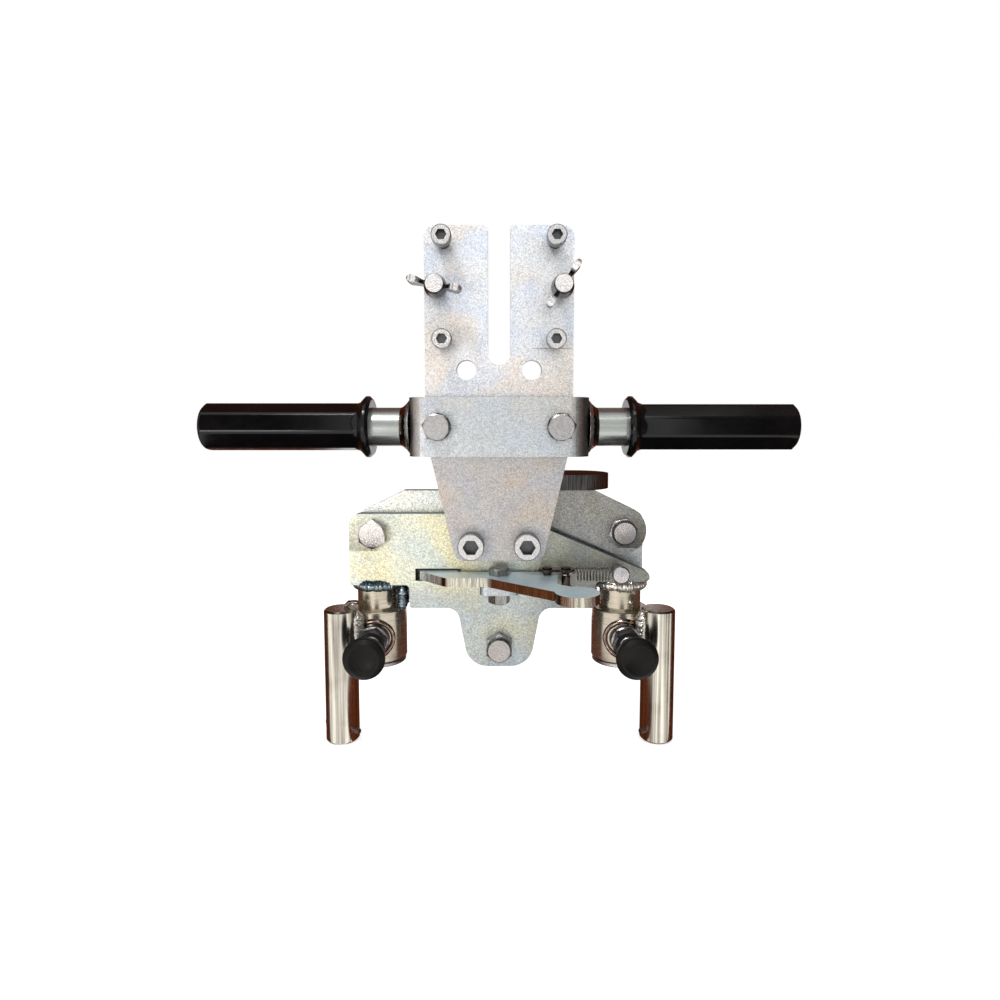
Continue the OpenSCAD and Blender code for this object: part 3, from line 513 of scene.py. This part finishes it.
# Brightness of a screw's face, and how far it lies behind the front of the screw's box
FACES = {"guide_screws": (0.70, 0.0), "link_screws": (0.56, 0.0), "crossbar_bolts": (0.42, 0.0),
         "wing_bolt_left": (0.86, 2.4), "wing_bolt_right": (0.86, 2.4)}
# Each screw's finish paints shade behind its face, from the depth given above.
for screw, (light, depth) in FACES.items():
    face_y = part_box(screw)[0][1] + depth * MM
    zinc(f"{screw}_zinc", (light, light * 0.97, light * 0.95), HEAD_WARM, HEAD_COOL,
         (0.32, 0.31, 0.30), seed=8, tint=0.3, sparkle=0.3, metallic=(0.9, 0.9), rough=(0.16, 0.34),
         recess_shade=(face_y + 0.1 * MM, face_y + 0.9 * MM, (0.16, 0.165, 0.175)))
print("zinc finishes ready")

# %% [markdown]
# Bare steel is drawn or turned, so its streaks follow the tool. Rubber and plastic are moulded:
# they have no grain, only a fine skin, faint wear and corners that catch the light softly.

# %% Steel, rubber and plastic finishes


def turned(name, light, dark, fine_scale, contrast, metallic=0.9, rough=(0.16, 0.30)):
    """Bare steel with drawn streaks; fine_scale is large across the streaks and small along them."""
    material, n, shader, relief = finish(name, metallic, bump=0.10)
    streak = n.add("ShaderNodeGroup", node_tree=STREAKS)
    n.join(n.place(scale=fine_scale), streak.inputs["Fine"])
    n.join(n.place(), streak.inputs["Wide"])
    streak.inputs["Light"].default_value = (*light, 1)
    streak.inputs["Dark"].default_value = (*dark, 1)
    streak.inputs["Contrast"].default_value = contrast
    n.join(streak.outputs["Color"], shader.inputs["Base Color"])
    n.join(n.spread(streak.outputs["Roughness"], 0, 1, *rough), shader.inputs["Roughness"])
    n.join(streak.outputs["Height"], relief.inputs["Height"])
    return material


def welded(name, light, groove, flank, heat, rough=(0.14, 0.40), metallic=0.9):
    """Weld metal: silver scales along the crown, with heat colour down the flanks."""
    material, n, shader, relief = finish(name, metallic, bump=0.4)
    scales = n.add("ShaderNodeGroup", node_tree=WELD_SCALES)
    n.join(n.add("ShaderNodeUVMap", uv_map="run").outputs[0], scales.inputs["UV"])
    for label, colour in (("Light", light), ("Groove", groove), ("Flank", flank)):
        scales.inputs[label].default_value = (*colour, 1)
    scales.inputs["Heat"].default_value = heat
    n.join(n.place(), scales.inputs["Vector"])
    n.join(scales.outputs["Color"], shader.inputs["Base Color"])
    n.join(n.spread(scales.outputs["Roughness"], 0, 1, *rough), shader.inputs["Roughness"])
    n.join(n.noise(n.place(), 900, 2), relief.inputs["Height"])
    return material


def moulded(name, colour, worn, rough, specular, bump, scale, rounding=0.0):
    """Moulded plastic or rubber: faint worn clouds, a fine skin texture and a chosen gloss.
    rounding softens the light on sharp edges over that distance."""
    material, n, shader, relief = finish(name, 0.0, specular=specular, bump=bump)
    if rounding:
        soft = n.add("ShaderNodeBevel", samples=8)
        soft.inputs["Radius"].default_value = rounding
        n.join(soft.outputs[0], relief.inputs["Normal"])
    place = n.place()
    cloud = n.spread(n.noise(place, 45, 4), 0.45, 0.75)
    fleck = n.spread(n.noise(place, scale, 2), 0.5, 0.7)
    n.join(n.mix(n.maths("MAXIMUM", cloud, fleck), colour, worn), shader.inputs["Base Color"])
    n.join(n.spread(n.noise(place, 90, 3), 0.3, 0.7, rough * 0.8, rough * 1.25),
           shader.inputs["Roughness"])
    n.join(n.noise(place, scale, 2), relief.inputs["Height"])
    return material


turned("leg_steel", (0.80, 0.75, 0.65), (0.15, 0.13, 0.10), (520, 520, 7), 0.95, 1.0,
       rough=(0.14, 0.26))
# The cross pins' ends are dark red.
turned("pin_dark_red", (0.10, 0.045, 0.03), (0.03, 0.015, 0.01), (200, 200, 200), 0.5, 0.3)
turned("sleeve_steel", (0.54, 0.48, 0.38), (0.30, 0.26, 0.21), (20, 20, 1300), 0.3)
turned("tube_zinc", (0.42, 0.44, 0.42), (0.20, 0.21, 0.19), (7, 300, 300), 0.5, 0.9,
       rough=(0.22, 0.36))
weld_blue = welded("weld_blue", (0.36, 0.44, 0.46), (0.10, 0.14, 0.16), (0.03, 0.055, 0.07), 1.0,
                   metallic=0.8)
weld_silver = welded("weld_silver", (0.82, 0.80, 0.73), (0.52, 0.48, 0.42), (0.34, 0.30, 0.26), 0.4,
                     rough=(0.12, 0.30), metallic=0.75)
weld_smooth = welded("weld_smooth", (0.34, 0.28, 0.24), (0.20, 0.14, 0.11), (0.12, 0.06, 0.04), 0.7,
                     rough=(0.08, 0.2), metallic=1.0)
turned("chain_steel", (0.065, 0.05, 0.045), (0.02, 0.016, 0.014), (200, 200, 200), 0.5)
turned("nut_black", (0.045, 0.045, 0.047), (0.015, 0.015, 0.015), (200, 200, 200), 0.5,
       0.5, rough=(0.18, 0.35))
turned("wire_steel", (0.40, 0.39, 0.37), (0.10, 0.10, 0.095), (300, 300, 300), 0.5, 1.0,
       rough=(0.12, 0.22))
moulded("grip_black", (0.003, 0.003, 0.003), (0.006, 0.005, 0.005), 0.16, 0.30, 0.06, 700,
        rounding=1.6 * MM)
moulded("knob_black", (0.003, 0.0025, 0.002), (0.013, 0.010, 0.009), 0.46, 0.16, 0.9, 1300)
print("materials", len(bpy.data.materials))

# %% [markdown]
# ## Dress the CAD pieces
# A CAD piece keeps its shape, so dressing it only means choosing its material. The table below
# goes from a finish's name to the pieces that have it; bolts, nuts and washers that it leaves
# out get fastener_zinc.

# %% Assign materials
DRESS = {
    "plate_zinc": ["carrier_plate"],
    "bar_zinc": ["crossbar"],
    "rear_zinc": ["jaw_plate_right", "lever_bracket"],
    "crossbar_bolts_zinc": ["crossbar_bolts"],
    "upright_zinc": ["lever_bolt", "lever_nut"],
    "centre_zinc": ["centre_bolt", "centre_nut"],
    "jaw_zinc": ["jaw_plate_left"],
    "yoke_zinc": ["yoke_plate"],
    "lug_painted_reflection": ["rear_lug"],
    "lever_zinc": ["latch_lever"],
    "guide_screws_zinc": ["guide_screws"],
    "link_screws_zinc": ["link_screws"],
    "wing_bolt_left_zinc": ["wing_bolt_left"],
    "wing_bolt_right_zinc": ["wing_bolt_right"],
    "bolt_zinc": ["pivot_bolt_left"],
    "tube_zinc": ["handle_tube_left", "handle_tube_right"],
    "grip_black": ["grip_left", "grip_right"],
    "knob_black": ["plunger_knob_left", "plunger_knob_right"],
    "nut_black": ["plunger_nut_left", "plunger_nut_right"],
    "chain_steel": ["chain_plates", "chain_pins", "chain_collars"],
    "wire_steel": ["return_spring"],
    "leg_steel": ["leg_left", "leg_right"],
    "pin_dark_red": ["cross_pin_left", "cross_pin_right"],
    "sleeve_steel": ["post_left", "post_right", "sleeve_left", "sleeve_right", "link_spacers",
                     "centre_spacer", "plunger_pin_left", "plunger_pin_right"],
}
finish_of = {node: name for name, nodes in DRESS.items() for node in nodes}
for node, obj in frame["nodes"].items():
    material = bpy.data.materials[finish_of.get(node, "fastener_zinc")]
    for slot in obj.material_slots:
        slot.material = material
print("dressed", len(frame["nodes"]), "nodes")

# %% [markdown]
# ## Weld beads
# A weld bead is a row of overlapping puddles. Swept along its seam, a tube whose radius follows
# a row of half waves gives that fish-scale look. Each wave lags at the flanks, so the scales
# become crescents, and a little seeded unevenness keeps them from looking machined.

# %% Bead helper
SIDES = 16


def bead(name, path, radius, body, material, up, closed=False, pitch=2.2 * MM, ripple=0.12):
    """Tube along path; radius times 1 - ripple + ripple |sin(pi (run + drift + lag |cos across|))|,
    and uneven by 8% from puddle to puddle; drift wanders by a quarter of a puddle."""
    ends = np.concatenate([path, path[:1]]) if closed else path
    run = np.concatenate([[0], np.cumsum(np.linalg.norm(np.diff(ends, axis=0), axis=1))])
    puddles = max(2, round(run[-1] / pitch))
    t = np.linspace(0, run[-1], puddles * 8 + 1)
    t = t[:-1] if closed else t
    ups = np.broadcast_to(up, path.shape)
    ups = np.concatenate([ups, ups[:1]]) if closed else ups
    fine = np.stack([np.interp(t, run, ends[:, i]) for i in range(3)], axis=-1)
    facing = np.stack([np.interp(t, run, ups[:, i]) for i in range(3)], axis=-1)
    across = np.abs(np.cos(np.linspace(0, 2 * np.pi, SIDES, endpoint=False)))[None, :]
    bumps, drift = RNG.normal(0, 1, (2, puddles + 1))
    bumps[-1], drift[-1] = bumps[0], drift[0]
    drift = 0.25 * np.interp(t, np.linspace(0, run[-1], puddles + 1), drift)
    phase = puddles * t[:, None] / run[-1] + drift[:, None] + SCALE_LAG * across
    uneven = 1 + 0.08 * np.interp(t, np.linspace(0, run[-1], puddles + 1), bumps)
    size = radius * (1 - ripple + ripple * np.abs(np.sin(np.pi * phase))) * uneven[:, None]
    if not closed:
        near = np.minimum(t, run[-1] - t) / (radius * 1.1)
        size = size * np.sqrt(np.clip(near, 0.05, 1))[:, None]
    points = swept(fine, size, facing, sides=SIDES, closed=closed)
    return grid_piece(name, points, body, material, wrap_u=closed,
                      caps=not closed, turns=puddles)


def line(a, b, count=60):
    """Points evenly spaced on the straight line from a to b."""
    t = np.linspace(0, 1, count)[:, None]
    return np.asarray(a) * (1 - t) + np.asarray(b) * t


def middle(node):
    """Centre of a node's box in plan, and half its width."""
    low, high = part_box(node)
    return np.array([(low[0] + high[0]) / 2, (low[1] + high[1]) / 2]), (high[0] - low[0]) / 2


# %% Post welds
ring_a = np.radians(np.linspace(0, 360, 181))[:-1]
for side, weld in (("left", weld_blue), ("right", weld_silver)):
    (cx, cy), r = middle(f"post_{side}")
    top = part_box(f"post_{side}")[1][2]
    plate_low, plate_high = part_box(f"jaw_plate_{side}")
    out = np.stack([np.cos(ring_a), np.sin(ring_a), np.full(ring_a.size, 0.0)], axis=-1)
    ring = np.array([cx, cy, top - 0.7 * MM]) + (r + 0.4 * MM) * out
    bead(f"post_weld_{side}", ring, 4.3 * MM, f"jaw_{side}", weld, out + (0, 0, -0.25), closed=True)
    inward = 1 if side == "left" else -1
    seam_x = cx + inward * (r + 4.6 * MM)
    for face, y, way in (("front", plate_low[1] + 0.4 * MM, -1), ("back", plate_high[1] - 0.4 * MM, 1)):
        seam = line((seam_x, y, top - 1 * MM), (seam_x, y, top - 18.5 * MM))
        bead(f"post_seam_{side}_{face}", seam, 3.6 * MM, f"jaw_{side}", weld, (0.3 * inward, way, 0))
print("post welds done")

# %% [markdown]
# Each leg stands beside its sleeve, and one bead in front and one behind fill the two grooves
# between the round surfaces. These beads are broad and lazy, with long puddles.

# %% Leg welds
for side in ("left", "right"):
    leg, leg_r = middle(f"leg_{side}")
    post = middle(f"post_{side}")[0]
    sleeve_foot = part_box(f"sleeve_{side}")[0][2]
    leg_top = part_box(f"leg_{side}")[1][2]
    out = (leg - post) / np.linalg.norm(leg - post)
    sleeve_r = np.linalg.norm(leg - post) - leg_r
    across = np.array([-out[1], out[0]]) * (1 if side == "left" else -1)
    for face, sign in (("front", 1), ("back", -1)):
        foot = post + out * (sleeve_r + 4 * MM) + across * sign * 7.6 * MM
        seam = line((*foot, leg_top - 1.2 * MM), (*foot, sleeve_foot + 4 * MM))
        bead(f"leg_weld_{side}_{face}", seam, 5.2 * MM, f"swivel_{side}", weld_silver,
             (*(across * sign), 0), pitch=4.2 * MM, ripple=0.12)
print("leg welds done")

# %% [markdown]
# The plunger's boss is let into the round sleeve, so its weld is not a flat ring. Each point of
# the ring is pushed back along the plunger's axis until it lies on the sleeve. A last drop of
# weld metal was left standing on top of the left leg, like a small hook.

# %% Boss welds and the hook
BOSS_RING = 12.8 * MM
for side in ("left", "right"):
    post = middle(f"post_{side}")[0]
    leg, leg_r = middle(f"leg_{side}")
    sleeve_r = np.linalg.norm(leg - post) - leg_r
    knob_low, knob_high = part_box(f"plunger_knob_{side}")
    axis_z = (knob_low[2] + knob_high[2]) / 2
    x, z = BOSS_RING * np.cos(ring_a), BOSS_RING * np.sin(ring_a)
    ring = np.stack([post[0] + x, post[1] - np.sqrt(sleeve_r ** 2 - x ** 2), axis_z + z], axis=-1)
    away = np.stack([x / sleeve_r + 0.6 * x / BOSS_RING, -np.ones(x.size), 0.8 * z / BOSS_RING],
                    axis=-1)
    bead(f"boss_weld_{side}", ring, 1.8 * MM, f"swivel_{side}", weld_smooth, away, closed=True,
         pitch=6 * MM, ripple=0.05)
(leg_x, leg_y), leg_r = middle("leg_left")
leg_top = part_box("leg_left")[1][2]
hook = np.array([(2.5, 3.5, -1.0), (3.2, 3.5, 1.2), (5.2, 3.5, 2.9), (8.2, 3.5, 3.6), (10.6, 3.5, 2.9),
                 (11.2, 3.5, 1.5)]) * MM + (leg_x, leg_y, leg_top)
bead("weld_hook", hook, 1.6 * MM, "swivel_left", weld_smooth, (0, -1, 0))
print("boss welds done")

# %% [markdown]
# The handle tubes meet the crossbar's cheeks in a smooth flared weld. It is a profile turned
# round the tube: a hollow curve that starts on the tube and opens out onto the cheek.

# %% Handle welds
FLARE_LENGTH, FLARE_R, TUBE_R = 7.0 * MM, 19.6 * MM, 13.45 * MM
for side, sign in (("left", -1), ("right", 1)):
    low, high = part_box(f"handle_tube_{side}")
    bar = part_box("crossbar")
    cheek = bar[1][0] if sign > 0 else bar[0][0]
    axis_y, axis_z = (low[1] + high[1]) / 2, (low[2] + high[2]) / 2
    s = np.linspace(0, 1, 14)
    reach = np.concatenate([FLARE_LENGTH * (1 - s), [0, FLARE_LENGTH * 0.5]])
    wide = np.concatenate([TUBE_R + (FLARE_R - TUBE_R) * s ** 1.4, [TUBE_R - 0.2 * MM] * 2])
    wide[0] += 0.05 * MM
    a = np.radians(np.linspace(0, 360, 180, endpoint=False))[:, None]
    ripple = 0.25 * MM * np.abs(np.sin(11 * a)) * np.concatenate([4 * s * (1 - s), [0, 0]])[None, :]
    r = wide[None, :] + ripple
    points = np.stack([cheek + sign * reach[None, :] + 0 * a, axis_y + sign * r * np.cos(a),
                       axis_z + r * np.sin(a)], axis=-1)
    grid_piece(f"handle_weld_{side}", points, "carrier", weld_smooth, wrap_u=True,
               turns=22)
print("handle welds done")

# %% [markdown]
# ## Threads
# The guide screws and wing bolts stand clear of the carrier, so their bare thread shows. A
# thread is a helix: the radius of the bare length depends on the height plus the angle, which
# gives one ridge that climbs a pitch for every turn.

# %% Screw threads
THREAD_PITCH = 1.25 * MM
THREAD_R = 3.97 * MM
THREAD_DEPTH = 0.42 * MM
HEAD_R, HEAD_DEPTH = 6.5 * MM, 8 * MM
WING_SHANK = 12 * MM
carrier_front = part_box("carrier_plate")[0][1]


def thread(name, centre, y0, y1, body, material):
    """Sleeve whose radius is a triangle wave of (length / pitch - angle), from crest to root."""
    rows = int(abs(y1 - y0) / THREAD_PITCH * 8)
    y = np.linspace(y0, y1, rows)[:, None]
    a = np.linspace(0, 2 * np.pi, 32, endpoint=False)[None, :]
    phase = (y / THREAD_PITCH + a / (2 * np.pi)) % 1.0
    ridge = 1 - np.abs(2 * phase - 1)
    r = THREAD_R + THREAD_DEPTH * ridge
    points = np.stack([centre[0] + r * np.cos(a), y + 0 * a, centre[1] + r * np.sin(a)], axis=-1)
    return grid_piece(name, points, body, material)


low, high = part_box("guide_screws")
guide_zinc = bpy.data.materials["guide_screws_zinc"]
corners = [(x, z) for z in (low[2] + HEAD_R, high[2] - HEAD_R) for x in (low[0] + HEAD_R, high[0] - HEAD_R)]
for i, corner in enumerate(corners):
    thread(f"guide_thread_{i}", corner, carrier_front, low[1] + HEAD_DEPTH, "carrier", guide_zinc)
for side in ("left", "right"):
    at = next(j for j in frame["joints"] if j["name"] == f"wing_{side}_turn")["pos_m"]
    thread(f"wing_thread_{side}", (at[0], at[2]), carrier_front - 0.3 * MM,
           carrier_front - WING_SHANK, f"wing_{side}", bpy.data.materials[f"wing_bolt_{side}_zinc"])
print("threads done")

# %% [markdown]
# ## Floor, room and lamps
# The floor is a plain pale sheet below the legs, and the room is white both for the camera and
# in reflections. Bright steel in a white room has no edges, so studio cards that only
# reflections see stand round the clamp, as they would for a product photograph. Brown ones
# behind it, and on the floor between the legs, give round pieces dark sides, and a gap straight
# behind leaves the back plates bright. Black flags in front at the sides and under the grips
# keep the rubber dark, and narrow bright strips draw the lines of light along it.

# %% Floor and cards


def stage_piece(name, points, material, cards_only=True):
    """Stage sheet from a grid of points[u, v]; a card shows in reflections and nowhere else."""
    nu, nv = points.shape[:2]
    uu, vv = np.meshgrid(np.arange(nu - 1), np.arange(nv - 1), indexing="ij")
    at = uu * nv + vv
    faces = np.stack([at, at + 1, at + nv + 1, at + nv], axis=-1).reshape(-1, 4)
    mesh = bpy.data.meshes.new(name)
    mesh.from_pydata(points.reshape(-1, 3).tolist(), [], faces.tolist())
    mesh.materials.append(material)
    piece = bpy.data.objects.new(name, mesh)
    bpy.context.scene.collection.objects.link(piece)
    piece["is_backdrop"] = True
    if cards_only:
        piece.visible_camera = False
        piece.visible_diffuse = False
        piece.visible_shadow = False
        piece.visible_transmission = False
    return piece


def plain(name, colour, glow_colour, glow, to_lens=False):
    """Matt stage material with a glow; to_lens keeps the glow to camera and glossy rays."""
    material = bpy.data.materials.new(name)
    material.use_nodes = True
    n = Nodes(material.node_tree)
    shader = material.node_tree.nodes["Principled BSDF"]
    shader.inputs["Base Color"].default_value = (*colour, 1)
    shader.inputs["Roughness"].default_value = 0.9
    shader.inputs["Specular IOR Level"].default_value = 0.0
    shader.inputs["Emission Color"].default_value = (*glow_colour, 1)
    shader.inputs["Emission Strength"].default_value = glow
    if to_lens:
        path = n.add("ShaderNodeLightPath")
        seen = n.maths("MAXIMUM", path.outputs["Is Camera Ray"], path.outputs["Is Glossy Ray"])
        n.join(n.maths("MULTIPLY", seen, glow), shader.inputs["Emission Strength"])
    return material


FLOOR_Z = CAD_BOX[0][2] - 0.4 * MM
FLOOR_HALF = 6.0
WHITE, BLACK = (1, 1, 1), (0, 0, 0)
edge = np.array([-FLOOR_HALF, FLOOR_HALF])
floor = np.stack([*np.meshgrid(edge, -edge, indexing="ij"), np.full((2, 2), FLOOR_Z)], axis=-1)
stage_piece("floor", floor, plain("floor_white", (0.9, 0.9, 0.9), WHITE, 0.62, to_lens=True),
            cards_only=False)
print("floor at", round(FLOOR_Z / MM, 1), "mm")

# %% Card shapes
GAP = math.radians(24)
APRON_Y = -7 * MM
CARD_LIFT = 0.2 * MM
CARD_LOW = -14
CARD_R = 0.95


def wall(name, start, stop, low, high, material, gap_low=None, radius=1.0):
    """Part of a sphere: azimuth from +Y towards +X, elevation from low to high, raised in the gap."""
    az = np.radians(np.linspace(start, stop, 45))[:, None]
    base = np.where((np.abs(az) < GAP) & (gap_low is not None), math.radians(gap_low or 0),
                    math.radians(low))
    el = base + (math.radians(high) - base) * np.linspace(0, 1, 13)[None, :]
    points = radius * np.stack([np.cos(el) * np.sin(az), np.cos(el) * np.cos(az), np.sin(el)], axis=-1)
    return stage_piece(name, points, material)


def apron(name, start, stop, near, far, material, gap_far=None):
    """Flat sector just above the floor, between two radii; shorter within the gap."""
    az = np.radians(np.linspace(start, stop, 45))[:, None]
    outer = np.where((np.abs(az) < GAP) & (gap_far is not None), gap_far or 0, far)
    r = near + (outer - near) * np.linspace(0, 1, 3)[None, :]
    points = np.stack([r * np.sin(az), APRON_Y + r * np.cos(az), np.full(r.shape, FLOOR_Z + CARD_LIFT)],
                      axis=-1)
    return stage_piece(name, points, material)


print("card shapes ready")

# %% Brown and dim cards
brown = plain("card_brown", BLACK, (0.125, 0.032, 0.013), 1.0)
dim = plain("card_dim", BLACK, (0.11, 0.095, 0.085), 1.0)
wall("card_back", -88, 88, CARD_LOW, 80, brown, gap_low=5)
apron("card_floor", -95, 95, 0.0, CARD_R, brown, gap_far=0.3)
wall("card_side", 89, 146, CARD_LOW, 60, dim)
apron("card_side_floor", 91, 146, 0.5, CARD_R, dim)
BETWEEN_HALF, BETWEEN_DEEP = 105 * MM, 75 * MM
u, v = np.meshgrid(np.linspace(-1, 1, 25), [0.0, 1.0], indexing="ij")
between = np.stack([BETWEEN_HALF * u, APRON_Y - BETWEEN_DEEP * (1 - u ** 2) * v,
                    np.full(u.shape, FLOOR_Z + 1.5 * CARD_LIFT)], axis=-1)
stage_piece("card_between", between, brown)
print("brown and dim cards ready")

# %% Flags and strips for the grips
FLAG_TURN = 22
UNDER_X, UNDER_Y, UNDER_Z = (85 * MM, 240 * MM), 60 * MM, -125 * MM
flag = plain("card_flag", BLACK, (0.02, 0.018, 0.017), 1.0)
strip = plain("card_strip", BLACK, (1.0, 0.97, 0.94), 9.0)
low_strip = plain("card_strip_low", BLACK, (1.0, 0.95, 0.92), 14.0)
for side, az in (("left", 203), ("right", 135)):
    wall(f"card_flag_{side}", az, az + FLAG_TURN, CARD_LOW, 40, flag)
    wall(f"card_strip_{side}", az, az + FLAG_TURN, 45, 52, strip)
wall("card_strip_low", 204, 218, -13.5, -3, low_strip, radius=0.98)
for side, sign in (("left", -1), ("right", 1)):
    x, y = np.meshgrid(sign * np.array(UNDER_X), [-UNDER_Y, UNDER_Y], indexing="ij")
    stage_piece(f"card_under_{side}", np.stack([x, y, np.full(x.shape, UNDER_Z)], axis=-1), flag)
print("flags and strips ready")

# %% [markdown]
# The world is the room. The camera, mirrors and glass see it white, while its light on the
# object is a soft grey, so that pale zinc does not burn out.

# %% World
world = bpy.data.worlds.new("studio")
bpy.context.scene.world = world
world.use_nodes = True
w = Nodes(world.node_tree)
sky = world.node_tree.nodes["Background"]
rays = w.add("ShaderNodeLightPath")
seen = w.maths("MAXIMUM", rays.outputs["Is Camera Ray"], rays.outputs["Is Transmission Ray"])
seen = w.maths("MAXIMUM", seen, rays.outputs["Is Glossy Ray"])
ROOM_GREY = 0.45
sky.inputs["Color"].default_value = (1, 1, 1, 1)
w.join(w.maths("MAXIMUM", seen, ROOM_GREY), sky.inputs["Strength"])
print("room light", ROOM_GREY)

# %% [markdown]
# A small key lamp above the camera's left throws the short shadows of the screws. A broad fill
# lamp from the right and a rear lamp keep the other sides readable.

# %% Lamps


def soft_lamp(name, at, aim, size, watts):
    """Square area lamp at a point, turned towards another point."""
    data = bpy.data.lights.new(name, "AREA")
    data.energy = watts
    data.size = size
    lamp = bpy.data.objects.new(name, data)
    lamp.location = at
    direction = np.asarray(aim) - np.asarray(at)
    flat = math.hypot(direction[0], direction[1])
    lamp.rotation_euler = (math.atan2(flat, -direction[2]), 0,
                           math.atan2(direction[1], direction[0]) - math.pi / 2)
    bpy.context.scene.collection.objects.link(lamp)
    return lamp


soft_lamp("key", (-0.35, -0.7, 1.0), (0, 0, -0.05), 0.16, 6.0)
soft_lamp("fill", (0.7, -1.0, 0.3), (0, 0, -0.08), 0.8, 2.0)
soft_lamp("rear", (0.3, 1.1, 0.9), (0, 0, -0.05), 0.9, 6)
bpy.context.scene.view_settings.view_transform = "Standard"

# %% [markdown]
# Last come the sizes. The new pieces are meant to stay inside the imported model's box, so both
# boxes are measured and the largest change between them is printed.

# %% Sizes and finish
new_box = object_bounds()
growth = np.abs(np.asarray(new_box) - np.asarray(CAD_BOX)).max() / MM
print("box changes by at most", round(float(growth), 2), "mm")
